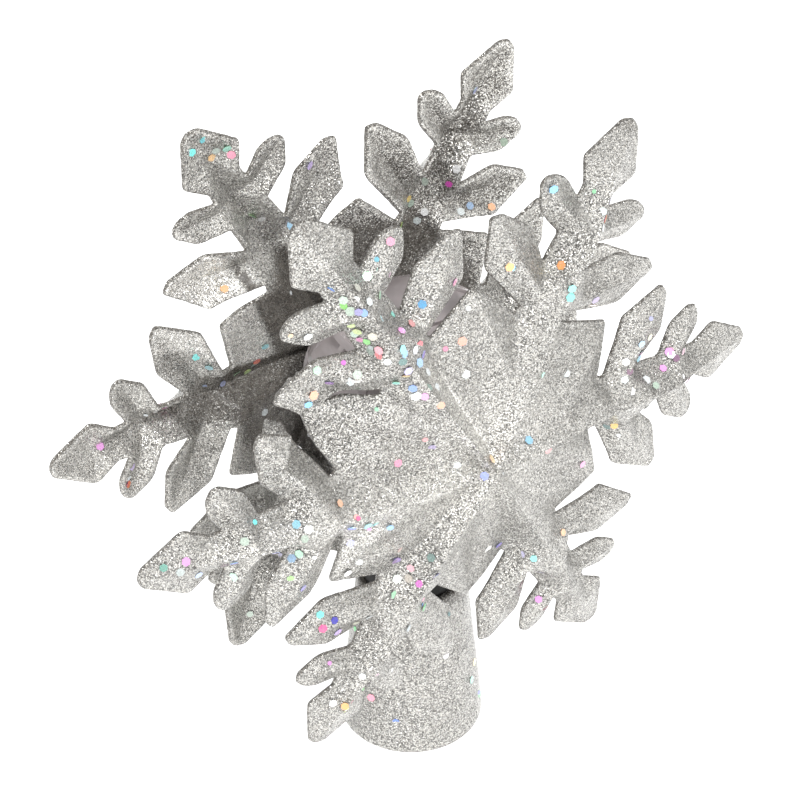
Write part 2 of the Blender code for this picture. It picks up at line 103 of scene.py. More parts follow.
# ================================================================ materials
class Shader:
    """A node material being built; a value given to a node is a socket or a constant."""

    def __init__(self, name):
        self.material = bpy.data.materials.new(name)
        self.material.use_nodes = True
        self.tree = self.material.node_tree
        self.tree.nodes.clear()
        self.output = self.tree.nodes.new("ShaderNodeOutputMaterial")
        self.count = 0

    def feed(self, socket, value):
        if isinstance(value, bpy.types.NodeSocket):
            self.tree.links.new(value, socket)
        elif isinstance(value, tuple) and socket.type == 'RGBA':
            socket.default_value = (*value, 1.0)
        else:
            socket.default_value = value

    def add(self, kind, inputs=None, **properties):
        node = self.tree.nodes.new("ShaderNode" + kind)
        for key, value in properties.items():
            setattr(node, key, value)
        for key, value in (inputs or {}).items():
            self.feed(node.inputs[key], value)
        # rows of eight in the node editor
        node.location = (-1400 + 190 * (self.count % 8), 500 - 260 * (self.count // 8))
        self.count += 1
        return node

    def place(self):
        return self.add("TexCoord").outputs["Object"]

    def math(self, operation, first, second, clamp=False):
        node = self.add("Math", {0: first, 1: second}, operation=operation, use_clamp=clamp)
        return node.outputs[0]

    def vector(self, operation, first, second):
        return self.add("VectorMath", {0: first, 1: second}, operation=operation).outputs[0]

    def scale(self, vector, factor):
        return self.add("VectorMath", {0: vector, "Scale": factor}, operation='SCALE').outputs[0]

    def centred(self, colour, amount):
        """A random colour turned into a vector about zero."""
        return self.scale(self.vector('SUBTRACT', colour, (0.5, 0.5, 0.5)), amount)

    def channels(self, colour):
        return self.add("SeparateColor", {0: colour}).outputs

    def ramp(self, factor, stops):
        """stops: (position, grey or colour)."""
        node = self.add("ValToRGB", {0: factor})
        elements = node.color_ramp.elements
        while len(elements) < len(stops):
            elements.new(0.5)
        for element, (position, colour) in zip(elements, stops):
            element.position = position
            grey = not isinstance(colour, tuple)
            element.color = (colour, colour, colour, 1.0) if grey else (*colour, 1.0)
        return node.outputs[0]

    def mix(self, factor, first, second, blend='MIX'):
        node = self.add("Mix", data_type='RGBA', blend_type=blend)
        for index, value in ((0, factor), (6, first), (7, second)):
            self.feed(node.inputs[index], value)
        return node.outputs[2]

    def multiply(self, first, second, factor=1.0):
        return self.mix(factor, first, second, 'MULTIPLY')

    def remap(self, value, span=(0.3, 0.7), to=(0.0, 1.0), smooth=False):
        """Map span onto to; the default span is where most noise values lie."""
        return self.add("MapRange", dict(enumerate((value, *span, *to))),
                        interpolation_type='SMOOTHSTEP' if smooth else 'LINEAR').outputs[0]

    def noise(self, vector, scale, detail=2.0, output=0):
        inputs = {"Scale": scale, "Detail": detail, "Vector": vector}
        return self.add("TexNoise", inputs).outputs[output]

    def voronoi(self, vector, scale):
        return self.add("TexVoronoi", {"Scale": scale, "Vector": vector}).outputs

    def bump(self, height, strength, distance):
        inputs = {"Strength": strength, "Distance": distance, "Height": height}
        return self.add("Bump", inputs).outputs[0]

    def finish(self, **values):
        """End in a principled surface; underscores stand for spaces in input names."""
        inputs = {key.replace("_", " "): value for key, value in values.items()}
        node = self.add("BsdfPrincipled", inputs)
        self.tree.links.new(node.outputs[0], self.output.inputs[0])
        return self.material


def glitter(name, flake_size=0.00029, brightness=0.85, shell=True):
    """Fine silver flakes in clear glue over grey plastic.  On a shell a point attribute says how
    thickly they lie, with painted shade and painted light mixed in: low values darken, values above 1
    brighten."""
    net = Shader(name)
    place = net.place()
    wobble = net.noise(place, scale=900.0, detail=1.0, output="Color")
    cells = net.vector('ADD', place, net.centred(wobble, amount=0.00022))
    large = net.voronoi(cells, scale=1.0 / flake_size)
    small = net.voronoi(cells, scale=1.55 / flake_size)
    large_random = net.channels(large["Color"])
    small_random = net.channels(small["Color"])
    if shell:
        cover_and_painted_light = net.add("Attribute", attribute_name="cover_and_painted_light").outputs["Fac"]
    else:
        # painted shadow: on the socket the glitter darkens towards its top end, under the petal above
        # it
        height = net.add("SeparateXYZ", {0: place}).outputs[2]
        cover_and_painted_light = net.remap(height, span=(CONE_HEIGHT - 0.010, CONE_HEIGHT), to=(1.0, 0.45),
                          smooth=True)
    # painted light: values above 1 scale the flakes brighter
    painted_light_gain = net.remap(cover_and_painted_light, span=(1.0, 2.0), to=(1.0, 2.0))
    patch = net.noise(place, scale=140.0, detail=3.0)
    patch = net.remap(patch, span=(0.35, 0.65), to=(-0.10, 0.10))
    cover_and_painted_light = net.math('ADD', cover_and_painted_light, patch, clamp=True)
    # how bright each flake is by itself
    large_tone = net.ramp(large_random[0], [
        (0.0, 0.05), (0.22, 0.16), (0.46, 0.42), (0.66, 0.86), (0.85, 1.0)])
    small_tone = net.ramp(small_random[1], [(0.0, 0.08), (0.30, 0.30), (0.60, 0.66), (0.85, 1.0)])
    small_share = 0.28
    tone = net.mix(small_share, large_tone, small_tone)
    tone = net.scale(net.multiply(tone, (brightness,) * 3), painted_light_gain)
    tint = net.ramp(small_random[2], [
        (0.0, (1.0, 0.945, 0.86)), (0.35, (1.0, 0.98, 0.922)), (0.7, (0.99, 0.973, 0.908)),
        (0.9, (0.96, 0.968, 0.962)), (1.0, (1.0, 0.94, 0.92))])
    silver = net.multiply(tone, tint)
    # grey-brown plastic shows where flakes are thin; its two tones are set dark to paint the shade it
    # mostly lies in
    shaded_bare_dark, shaded_bare_pale = (0.105, 0.093, 0.080), (0.200, 0.183, 0.160)
    bare_with_painted_shade = net.mix(net.remap(net.noise(place, scale=500.0)), shaded_bare_dark, shaded_bare_pale)
    chance = net.remap(cover_and_painted_light, span=(0.0, 1.0), to=(0.10, 1.02))
    flake_here = net.math('LESS_THAN', large_random[1], chance)
    dull = net.multiply(silver, (0.20, 0.19, 0.17),
                        factor=net.remap(cover_and_painted_light, span=(0.0, 1.0), to=(0.62, 0.0)))
    base = net.mix(flake_here, bare_with_painted_shade, dull)
    # darker line where flakes overlap
    edge = net.remap(large["Distance"], span=(0.35, 0.62), to=(1.0, 0.62), smooth=True)
    base = net.multiply(base, edge)
    # each flake leans its own way
    surface = net.add("NewGeometry").outputs["Normal"]
    large_lean = net.centred(large["Color"], amount=0.95)
    small_lean = net.centred(small["Color"], amount=0.55)
    leaning = net.vector('ADD', surface, net.vector('ADD', large_lean, small_lean))
    normal = net.add("VectorMath", {0: leaning}, operation='NORMALIZE').outputs[0]
    metal = net.remap(small_random[0], span=(0.25, 0.8), to=(0.35, 0.95))
    return net.finish(
        Base_Color=base, Metallic=net.math('MULTIPLY', flake_here, metal),
        Roughness=net.remap(large_random[2], span=(0.0, 1.0), to=(0.15, 0.44)),
        Normal=normal, Coat_Weight=0.15, Coat_Roughness=0.25)


def sequin_foil(name):
    """Foil whose hue shifts with the viewing angle; its colour is the attribute flake."""
    net = Shader(name)
    colour = net.add("Attribute", attribute_name="flake").outputs["Color"]
    place = net.place()
    facing = net.add("LayerWeight", {"Blend": 0.45}).outputs["Facing"]
    grain = net.noise(place, scale=2600.0)
    shifted = net.add("HueSaturation", {
        "Hue": net.remap(facing, span=(0.0, 1.0), to=(0.44, 0.60)),
        "Saturation": net.remap(grain, to=(0.85, 1.15)),
        "Value": net.remap(grain, to=(0.94, 1.05)),
        "Color": colour}).outputs[0]
    return net.finish(
        Base_Color=shifted, Metallic=0.25, Roughness=net.remap(grain, to=(0.20, 0.34)),
        Coat_Weight=0.5, Coat_Roughness=0.08,
        Normal=net.bump(grain, strength=0.15, distance=0.00005))


def plastic(name, colour, roughness, grain=900.0, specular=0.5):
    """Moulded plastic with a fine spark-eroded texture and light scuffs."""
    net = Shader(name)
    place = net.place()
    fine = net.noise(place, scale=grain, detail=3.0)
    broad = net.noise(place, scale=60.0, detail=3.0)
    scuff = net.noise(net.vector('MULTIPLY', place, (1.0, 1.0, 0.08)), scale=700.0)
    light = tuple(min(1.0, part * 1.3 + 0.002) for part in colour)
    dark = tuple(part * 0.82 for part in colour)
    scuffed = tuple(min(1.0, part * 1.6 + 0.01) for part in colour)
    base = net.mix(net.remap(broad), dark, light)
    base = net.mix(net.remap(scuff, span=(0.62, 0.75), to=(0.0, 0.35)), base, scuffed)
    rough = net.math('ADD', net.remap(fine, to=(roughness - 0.07, roughness + 0.09)),
                     net.remap(scuff, span=(0.6, 0.8), to=(0.0, -0.1)))
    return net.finish(Base_Color=base, Roughness=rough, Specular_IOR_Level=specular,
                      Normal=net.bump(fine, strength=0.35, distance=0.00004))


def metal(name, colour, roughness=0.28):
    """Turned or drawn metal with fine lines along Z."""
    net = Shader(name)
    place = net.place()
    lines = net.noise(net.vector('MULTIPLY', place, (1.0, 1.0, 0.05)), scale=6000.0)
    stain = net.noise(place, scale=180.0, detail=3.0)
    stained = tuple(part * 0.78 for part in colour)
    base = net.mix(net.remap(stain, span=(0.35, 0.7)), colour, stained)
    rough = net.math('ADD', net.remap(lines, to=(roughness - 0.08, roughness + 0.12)),
                     net.remap(stain, span=(0.4, 0.7), to=(0.0, 0.08)))
    return net.finish(Base_Color=base, Metallic=1.0, Roughness=rough,
                      Normal=net.bump(lines, strength=0.2, distance=0.00003))


def board(name):
    """Solder mask with faint copper tracks below it."""
    net = Shader(name)
    place = net.place()
    black, white = (0.0, 0.0, 0.0), (1.0, 1.0, 1.0)
    tracks = net.add("TexBrick", {
        "Scale": 420.0, "Mortar Size": 0.035, "Color1": black, "Color2": black,
        "Mortar": white, "Vector": place}).outputs[0]
    fine = net.noise(place, scale=1400.0)
    mask, track, shade = (0.015, 0.110, 0.040), (0.045, 0.240, 0.085), (0.01, 0.07, 0.03)
    base = net.mix(tracks, mask, track)
    base = net.mix(net.remap(fine, span=(0.4, 0.7), to=(0.0, 0.3)), base, shade)
    return net.finish(Base_Color=base, Roughness=net.remap(fine, to=(0.22, 0.38)),
                      Coat_Weight=0.4, Normal=net.bump(tracks, strength=0.3, distance=0.00004))


def clear(name, tint, streak_tint, transmission=0.5, roughness=0.12):
    """Clear plastic with moulding streaks and fine scratches."""
    net = Shader(name)
    place = net.place()
    streak = net.noise(net.vector('MULTIPLY', place, (1.0, 1.0, 5.0)), scale=55.0, detail=3.0)
    fine = net.noise(net.vector('MULTIPLY', place, (0.3, 0.3, 1.0)), scale=1500.0)
    base = net.mix(net.remap(streak), tint, streak_tint)
    streak_rough = net.remap(streak, span=(0.35, 0.7), to=(roughness * 0.7, roughness * 1.7))
    rough = net.math('ADD', streak_rough, net.remap(fine, span=(0.55, 0.8), to=(0.0, 0.12)))
    height = net.math('ADD', streak, net.math('MULTIPLY', fine, 0.12))
    return net.finish(Base_Color=base, Roughness=rough, IOR=1.49,
                      Transmission_Weight=transmission,
                      Normal=net.bump(height, strength=0.25, distance=0.0004))


def floor_paint(name):
    net = Shader(name)
    broad = net.noise(net.place(), scale=3.0)
    return net.finish(
        Base_Color=net.mix(net.remap(broad), (0.93, 0.93, 0.93), (0.95, 0.95, 0.95)),
        Roughness=0.9, Specular_IOR_Level=0.1,
        Emission_Color=(1.0, 1.0, 1.0), Emission_Strength=0.74)


# the rear shell's glitter is painted brighter (1.18 against 0.85): painted light for its shaded
# inside
GLITTER = {FRONT: glitter("silver_glitter"), REAR: glitter("silver_glitter_rear_painted_brighter", brightness=1.18)}
GLITTER_SOCKET = glitter("silver_glitter_socket", flake_size=0.00034, shell=False)
SEQUIN_FOIL = sequin_foil("holographic_sequin")
BLACK = plastic("black_moulded_plastic", (0.0045, 0.0042, 0.0034), roughness=0.42, specular=0.14)
NYLON = plastic("natural_nylon", (0.74, 0.72, 0.66), roughness=0.42, grain=700.0)
STEEL = metal("plated_steel", (0.60, 0.60, 0.61))
STEEL_TUBE = metal("drawn_steel_tube", (0.66, 0.66, 0.66), roughness=0.22)
BOARD = board("circuit_board")
LENS = clear("clear_lens_plastic", (0.66, 0.60, 0.60), (0.36, 0.32, 0.32), transmission=0.45)
SHEATH = plastic("cable_sheath", (0.16, 0.16, 0.17), roughness=0.5, grain=1600.0)
LED_RED = clear("led_red_lens", (0.75, 0.05, 0.04), (0.60, 0.03, 0.03))
LED_GREEN = clear("led_green_lens", (0.08, 0.60, 0.13), (0.05, 0.45, 0.10))
LED_BLUE = clear("led_blue_lens", (0.06, 0.14, 0.75), (0.04, 0.10, 0.55))
LED_WHITE = clear("led_white_lens", (0.88, 0.88, 0.80), (0.80, 0.80, 0.70), transmission=0.6)

# ================================================================ snowflake sheet
# Lengths here are shares of RADIUS.  One half arm spans the 30 degrees between the arm's
# line and the line of the petal beside it, where the hexagonal hub has its corner.
# Columns: along the arm, to its side, height off the middle plane, corner rounding.
OUTLINE = [
    (TIP, 0.000, 0.268, 0.012), (0.985, 0.025, 0.268, 0.012), (0.868, 0.096, 0.272, 0.018),
    (0.797, 0.057, 0.276, 0.008), (0.762, 0.060, 0.278, 0.008), (0.792, 0.130, 0.278, 0.020),
    (0.793, 0.165, 0.278, 0.012), (0.783, 0.190, 0.279, 0.011), (0.765, 0.197, 0.279, 0.014),
    (0.701, 0.158, 0.281, 0.022), (0.656, 0.069, 0.284, 0.009), (0.571, 0.074, 0.285, 0.009),
    (0.644, 0.172, 0.290, 0.020), (0.655, 0.292, 0.293, 0.013), (0.640, 0.318, 0.293, 0.013),
    (0.516, 0.253, 0.290, 0.020), (0.441, 0.092, 0.282, 0.006), (0.418, 0.100, 0.280, 0.006),
]
SMALL_TIP, LARGE_TIP, NOTCH = 7, 14, 17      # rows where the branches and the petal's fold end
# The ridge along the arm: distance from the centre, height.
CREST = [
    (0.000, 0.420), (0.110, 0.413), (0.260, 0.392), (0.450, 0.371), (0.600, 0.367),
    (0.690, 0.357), (0.780, 0.325), (0.868, 0.303), (0.950, 0.284),
]
LARGE_START, SMALL_START = 3, 5              # crest rows where the branches start
# Folds: along the arm, to its side, height.
HUB_FOOT = (0.052, 0.030, 0.370)
# The ridge falls steeply on its clockwise side and runs gently into the petal on the
# other, so the centre looks like a pinwheel.
STEEP_FOOT = [(0.250, 0.045, 0.331), (0.385, 0.062, 0.291)]
GENTLE_FOOT = [(0.250, 0.045, 0.370), (0.385, 0.062, 0.350)]
GENTLE_NOTCH = 0.306                 # height of the notch beside the petal, gentle side
LARGE_BRANCH = [(0.506, 0.083, 0.335), (0.580, 0.213, 0.318)]
SMALL_BRANCH = [(0.709, 0.065, 0.312), (0.747, 0.144, 0.298)]

PETAL_REACH, PETAL_HEIGHT, PETAL_ROUNDING = 0.517, 0.287, 0.016
COS30, SIN30 = math.cos(math.radians(30)), math.sin(math.radians(30))
PETAL_LINE = np.array([COS30, SIN30])
PETAL_CORNER = (PETAL_REACH * COS30, PETAL_REACH * SIN30)

WALL = 0.0016                        # shell thickness with its coating, metres
CORNER_COAT = 0.009                  # how far the coating stands past a convex corner
NOTCH_COAT = 0.001                   # and past a concave one
RIM_BAND = 0.022                     # width of the flat band along the outline
STEP = 0.0110                        # spacing of the surface points
ROW_SHARE = 0.8660254                # row height of a triangular grid, share of its step


def smoothstep(value, low, high):
    t = np.clip((value - low) / (high - low), 0, 1)
    return t * t * (3 - 2 * t)


def rim_heights(gentle):
    """Heights of the outline's corners and of the petal's corner."""
    heights = [row[2] for row in OUTLINE] + [PETAL_HEIGHT]
    if gentle:
        heights[NOTCH - 1] = heights[NOTCH] = GENTLE_NOTCH
    return heights


def coarse_arm(foot, gentle):
    """The folded half arm with a point only at each corner: points, heights, triangles."""
    loop = [(along, 0.0, height) for along, height in CREST]
    loop += [(*row[:2], height) for row, height in zip(OUTLINE, rim_heights(gentle))]
    loop += [(*PETAL_CORNER, PETAL_HEIGHT), HUB_FOOT]
    count, first = len(loop), len(CREST)
    points = loop + foot + LARGE_BRANCH + SMALL_BRANCH
    edges = [(i, (i + 1) % count) for i in range(count)]
    for fold in ([count - 1, count, count + 1, first + NOTCH],
                 [LARGE_START, count + 2, count + 3, first + LARGE_TIP],
                 [SMALL_START, count + 4, count + 5, first + SMALL_TIP]):
        edges += list(zip(fold, fold[1:]))
    flat = [Vector(point[:2]) for point in points]
    result = delaunay_2d_cdt(flat, edges, [list(range(count))], 1, 1e-6)
    heights = np.array([points[sources[0]][2] for sources in result[3]])
    return np.array([[v.x, v.y] for v in result[0]]), heights, [list(f) for f in result[2]]


def mirror_in_petal(point):
    reach = point[0] * COS30 + point[1] * SIN30
    return (2 * reach * COS30 - point[0], 2 * reach * SIN30 - point[1])


def coated_corners():
    """Outline corners pushed out by the coating, and their roundings; at each end the
    chain runs on into the mirrored neighbour."""
    chain = [(OUTLINE[2][0], -OUTLINE[2][1], 0.0), (OUTLINE[1][0], -OUTLINE[1][1], OUTLINE[1][3])]
    chain += [(row[0], row[1], row[3]) for row in OUTLINE] + [(*PETAL_CORNER, PETAL_ROUNDING)]
    chain += [(*mirror_in_petal(OUTLINE[NOTCH]), OUTLINE[NOTCH][3]),
              (*mirror_in_petal(OUTLINE[NOTCH - 1]), 0.0)]
    drawn = np.array([corner[:2] for corner in chain])
    grown = drawn.copy()
    for i in range(1, len(chain) - 1):
        before, after = drawn[i] - drawn[i - 1], drawn[i + 1] - drawn[i]
        before, after = before / np.linalg.norm(before), after / np.linalg.norm(after)
        cross = before[0] * after[1] - before[1] * after[0]
        normal = np.array([before[1] + after[1], -before[0] - after[0]])
        normal /= max(np.linalg.norm(normal), 1e-9)
        grown[i] = drawn[i] + normal * (CORNER_COAT if cross > 0 else NOTCH_COAT)
    return grown, [corner[2] for corner in chain]


def rounded_corners():
    corners, roundings = coated_corners()
    points = []
    for i in range(1, len(corners) - 1):
        before, corner, after = corners[i - 1:i + 2]
        length_before = np.linalg.norm(before - corner)
        length_after = np.linalg.norm(after - corner)
        cut = min(roundings[i], 0.46 * length_before, 0.46 * length_after)
        start = corner + (before - corner) / length_before * cut
        end = corner + (after - corner) / length_after * cut
        for s in np.linspace(0, 1, 6):
            points.append((1 - s) ** 2 * start + 2 * s * (1 - s) * corner + s * s * end)
    return points


def round_outline():
    """The half arm's outline as dense points, from the arm's line to the petal's."""
    points = rounded_corners()
    dense = [points[0]]
    for point in points[1:]:
        start = dense[-1]
        gap = np.linalg.norm(point - start)
        if gap < 2e-4:
            continue
        pieces = max(1, int(math.ceil(gap / (STEP * 0.95))))
        for j in range(1, pieces + 1):
            dense.append(start + (point - start) * j / pieces)
    dense = np.array(dense)
    # the side wall bulges half a wall past the sheet, so the sheet stops that much short;
    # the chain runs from the tip round to the petal, so its outside is on the right
    tangent = np.gradient(dense, axis=0)
    tangent /= np.linalg.norm(tangent, axis=1)[:, None]
    dense = dense - np.stack([tangent[:, 1], -tangent[:, 0]], 1) * (0.5 * WALL / RADIUS)
    below_petal = dense[:, 0] * SIN30 - dense[:, 1] * COS30
    dense = dense[(dense[:, 1] >= -1e-6) & (below_petal >= -1e-6)]
    # bring both ends exactly onto the mirror lines
    first, last = dense[0].copy(), dense[-1].copy()
    if first[1] > 1e-6:
        dense = np.vstack([[first[0] + 0.0002, 0.0], dense])
    else:
        dense[0][1] = 0.0
    foot = PETAL_LINE * (last @ PETAL_LINE)
    if np.linalg.norm(last - foot) > 1e-6:
        dense = np.vstack([dense, foot])
    else:
        dense[-1] = foot
    # drop points that crowd each other
    crowding = 0.0022
    kept = [dense[0]]
    for point in dense[1:-1]:
        if min(np.linalg.norm(point - kept[-1]), np.linalg.norm(point - dense[-1])) > crowding:
            kept.append(point)
    return np.array(kept + [dense[-1]])


def inside(points, polygon):
    x, y = points[:, 0], points[:, 1]
    result = np.zeros(len(points), bool)
    for i in range(len(polygon)):
        xi, yi, xj, yj = *polygon[i], *polygon[i - 1]
        result ^= ((yi > y) != (yj > y)) & (x < (xj - xi) * (y - yi) / (yj - yi + 1e-30) + xi)
    return result


def line_distance(points, line):
    """Distance to a polyline, and where along it, as index plus share."""
    best = np.full(len(points), 1e9)
    where = np.zeros(len(points))
    for i in range(len(line) - 1):
        start, leg = line[i], line[i + 1] - line[i]
        t = np.clip(((points - start) @ leg) / (leg @ leg + 1e-30), 0, 1)
        distance = np.linalg.norm(points - (start + t[:, None] * leg), axis=1)
        closer = distance < best
        best[closer], where[closer] = distance[closer], (i + t)[closer]
    return best, where


def sampled(points, with_end=True):
    """Points about STEP apart along a polyline."""
    result = []
    for start, end in zip(points[:-1], points[1:]):
        start, end = np.array(start[:2], float), np.array(end[:2], float)
        pieces = max(1, int(round(np.linalg.norm(end - start) / STEP)))
        result += [start + (end - start) * j / pieces for j in range(pieces)]
    if with_end:
        result.append(np.array(points[-1][:2], float))
    return result


def fold_points(polygon, arm_line, rim):
    """Points along the folds and the edges that join them, numbered after the polygon."""
    folds = [
        sampled([HUB_FOOT] + STEEP_FOOT + [OUTLINE[NOTCH]]),
        sampled([(CREST[LARGE_START][0], 0.0)] + LARGE_BRANCH + [OUTLINE[LARGE_TIP]]),
        sampled([(CREST[SMALL_START][0], 0.0)] + SMALL_BRANCH + [OUTLINE[SMALL_TIP]]),
    ]
    points, edges = [], []
    for k, fold in enumerate(folds):
        previous = None
        if k > 0:
            # a branch starts from the nearest point of the arm's line
            gaps = np.linalg.norm(polygon[:len(arm_line)] - fold[0], axis=1)
            previous = int(np.argmin(gaps))
            fold = fold[1:]
        for point in fold:
            one = point[None, :]
            if line_distance(one, rim)[0][0] < 0.7 * STEP or not inside(one, polygon)[0]:
                break
            points.append(point)
            index = len(polygon) + len(points) - 1
            if previous is not None:
                edges.append((previous, index))
            previous = index
    return np.array(points), edges


def grid_points(polygon, rim, folds):
    """A triangular grid that keeps clear of the outline, the mirror lines and the folds."""
    columns = np.arange(0, 1.05, STEP)
    rows = np.arange(0, 0.45, STEP * ROW_SHARE)
    grid = np.array([[u + (STEP / 2 if j % 2 else 0), v]
                     for j, v in enumerate(rows) for u in columns])
    grid = grid[inside(grid, polygon)]
    to_rim = line_distance(grid, rim)[0]
    to_petal = grid[:, 0] * SIN30 - grid[:, 1] * COS30
    to_fold = np.min(np.linalg.norm(grid[:, None, :] - folds[None, :, :], axis=2), axis=1)
    return grid[(to_rim > 0.55 * STEP) & (grid[:, 1] > 0.5 * STEP) &
                (to_petal > 0.5 * STEP) & (to_fold > 0.6 * STEP)]


def coarse_heights(points):
    """Heights read off the coarse arm; columns are the steep and the gentle side."""
    corners, steep, triangles = coarse_arm(STEEP_FOOT, False)
    corner_heights = np.stack([steep, coarse_arm(GENTLE_FOOT, True)[1]], 1)
    best = np.full(len(points), -1e9)
    heights = np.zeros((len(points), 2))
    for triangle in triangles:
        a, b, c = corners[triangle]
        basis = np.array([[b[0] - a[0], c[0] - a[0]], [b[1] - a[1], c[1] - a[1]]])
        if abs(np.linalg.det(basis)) < 1e-9:
            continue
        share = (points - a) @ np.linalg.inv(basis).T
        weights = np.stack([1 - share.sum(1), share[:, 0], share[:, 1]], 1)
        score = weights.min(1)
        better = score > best
        clipped = np.clip(weights, 0, None)
        clipped /= clipped.sum(1)[:, None]
        heights[better] = (clipped @ corner_heights[triangle])[better]
        best[better] = score[better]
    return heights


def fine_arm():
    """The half arm as a fine mesh: points, heights, distance to the rim, triangles."""
    rim = round_outline()
    tip, petal_reach = rim[0][0], np.linalg.norm(rim[-1])
    stops = [along for along, _ in CREST if along < tip - 0.02] + [tip]
    arm_line = sampled([(along, 0.0) for along in stops], with_end=False)
    pieces = int(petal_reach / STEP)
    petal_points = [PETAL_LINE * petal_reach * i / pieces for i in range(pieces - 1, 0, -1)]
    polygon = np.array(arm_line + list(rim) + petal_points)
    count = len(polygon)
    folds, fold_edges = fold_points(polygon, arm_line, rim)
    points = np.vstack([polygon, folds, grid_points(polygon, rim, folds)])
    border = [(i, (i + 1) % count) for i in range(count)]
    result = delaunay_2d_cdt([Vector(point) for point in points], border + fold_edges,
                             [list(range(count))], 1, 1e-7)
    points = np.array([[v.x, v.y] for v in result[0]])
    faces = np.array([list(face) for face in result[2]])
    heights = coarse_heights(points)
    # a narrow flat rim, then the ridge rises inside it
    rim_distance = line_distance(points, rim)[0]
    chain = np.array([row[:2] for row in OUTLINE] + [PETAL_CORNER])
    along = line_distance(points, chain)[1]
    edge_heights = np.stack([np.interp(along, np.arange(len(chain)), rim_heights(gentle))
                             for gentle in (False, True)], 1)
    rise = smoothstep(rim_distance, 0.003, RIM_BAND)
    return points, edge_heights + (heights - edge_heights) * rise[:, None], rim_distance, faces


def merge_seams(points, faces):
    """Let the faces share one point where half arms meet: kept points, faces."""
    cell, tolerance = 2e-5, 1e-4
    key = np.round(points / cell).astype(np.int64)
    _, first, back = np.unique(key, axis=0, return_index=True, return_inverse=True)
    points, faces = points[first], back.ravel()[faces]
    # twins that fell into neighbouring cells
    order = np.argsort(points[:, 0])
    parent = np.arange(len(points))
    for rank, i in enumerate(order):
        for j in order[rank + 1:]:
            if points[j, 0] - points[i, 0] >= tolerance:
                break
            if abs(points[j, 1] - points[i, 1]) < tolerance:
                parent[j] = parent[i]
    faces = parent[faces]
    a, b, c = faces.T
    faces = faces[(a != b) & (b != c) & (a != c)]
    used, renumbered = np.unique(faces, return_inverse=True)
    return first[used], renumbered.reshape(-1, 3)


def snowflake_sheet():
    """Six arms in the plane: points (x, z), heights, distance to the rim, triangles."""
    half, half_heights, half_rim, half_faces = fine_arm()
    points, heights, faces = [], [], []
    for arm in range(6):
        turn = math.radians(60 * arm)
        for flip in (1, -1):
            u, v = half[:, 0], half[:, 1] * flip
            faces.append((half_faces if flip == 1 else half_faces[:, ::-1])
                         + len(points) * len(half))
            points.append(np.stack([u * math.cos(turn) - v * math.sin(turn),
                                    u * math.sin(turn) + v * math.cos(turn)], 1))
            heights.append(half_heights[:, 1 if flip == 1 else 0])
    points = np.vstack(points)
    kept, faces = merge_seams(points, np.vstack(faces))
    return points[kept], np.concatenate(heights)[kept], np.tile(half_rim, 12)[kept], faces


def smooth_heights(heights, faces, weight=0.2):
    """Move each height a little towards the mean of its neighbours."""
    total, count = np.zeros(len(heights)), np.zeros(len(heights))
    for a, b in ((0, 1), (1, 2), (2, 0)):
        for here, there in ((a, b), (b, a)):
            np.add.at(total, faces[:, here], heights[faces[:, there]])
            np.add.at(count, faces[:, here], 1)
    return heights + weight * (total / count - heights)


def ordered_boundary(faces):
    """The outline of an open sheet as one ordered loop."""
    sides = {}
    for face in faces:
        for i in range(3):
            sides[(int(face[i]), int(face[(i + 1) % 3]))] = True
    following = {a: b for (a, b) in sides if (b, a) not in sides}
    start = next(iter(following))
    loop = [start]
    while following[loop[-1]] != start:
        loop.append(following[loop[-1]])
    assert len(loop) == len(following), "the outline should be one loop"
    return loop


SHEET_POINTS, SHEET_HEIGHTS, SHEET_RIM, SHEET_FACES = snowflake_sheet()
SHEET_HEIGHTS = smooth_heights(SHEET_HEIGHTS, SHEET_FACES)
SHEET_LOOP = np.array(ordered_boundary(SHEET_FACES))

# ================================================================ shells
# Hand-assembled shells aren't perfectly flat: each arm is a little bent, turned or
# stretched.  Arm 0 points along +X, the rest follow every 60 degrees towards +Z.
# (metres away from the middle plane at the tip, radians, share of the length)
ARM_WARP = {
    FRONT: [(0.0024, 0.024, -0.018), (0.0, -0.0145, -0.003), (0.0, 0.006, -0.002),
            (0.0007, 0.0095, 0.001), (0.0009, -0.016, -0.006), (0.0033, -0.012, -0.040)],
    REAR: [(0.0, 0.0, 0.0), (0.0026, -0.005, 0.003), (0.0053, 0.003, -0.018),
           (0.0006, 0.006, -0.002), (-0.0023, 0.0145, 0.006), (0.0, 0.0, 0.0)],
}
# One front petal leans in towards the middle plane and reaches further.
BENT_PETAL = {"angle": 150, "bend": -0.0080, "stretch": 0.058}
# One front branch is wider at its root, so that no gap shows below it (shares of RADIUS).
WIDE_ROOT = {"angle": 120, "along": 0.500, "across": 0.235, "shift": 0.056, "reach": 0.142}
# How well the flakes cover the inside of each arm, arm 0 first; the lower values also paint the shade
# inside the shells.
INNER_COVER_AND_PAINTED_SHADE = {FRONT: [0.85] * 6, REAR: [0.90, 0.62, 1.00, 0.92, 0.90, 0.90]}
# Painted light: flakes are painted brighter in strips of the front shell, standing in for light on a
# steep face and on a bright band along a ridge: the arm's angle, the strip's offset across it at the
# centre and at 0.44 along it, its half width, its end, the extra brightness.
PAINTED_HIGHLIGHT_STRIPS = [(120, -0.015, -0.037, 0.030, 0.45, 0.74), (180, 0.000, 0.022, 0.060, 0.80, 0.20)]
WALL_ANGLES = (38, 90, 142)          # degrees round the side wall, from outside to inside
WALL_COVER = (0.75, 0.30, 0.45)      # flake cover at each of them


def lumps(x, y, z, size, seed):
    return np.array([noise.noise(Vector((a / size + seed, b / size, c / size)))
                     for a, b, c in zip(x, y, z)])


def arm_place(x, z):
    """The nearest arm's number, distance from the centre in RADIUS, angle in degrees."""
    angle = np.degrees(np.arctan2(z - CENTRE_Z, x)) % 360
    return (np.round(angle / 60).astype(int)) % 6, np.hypot(x, z - CENTRE_Z) / RADIUS, angle


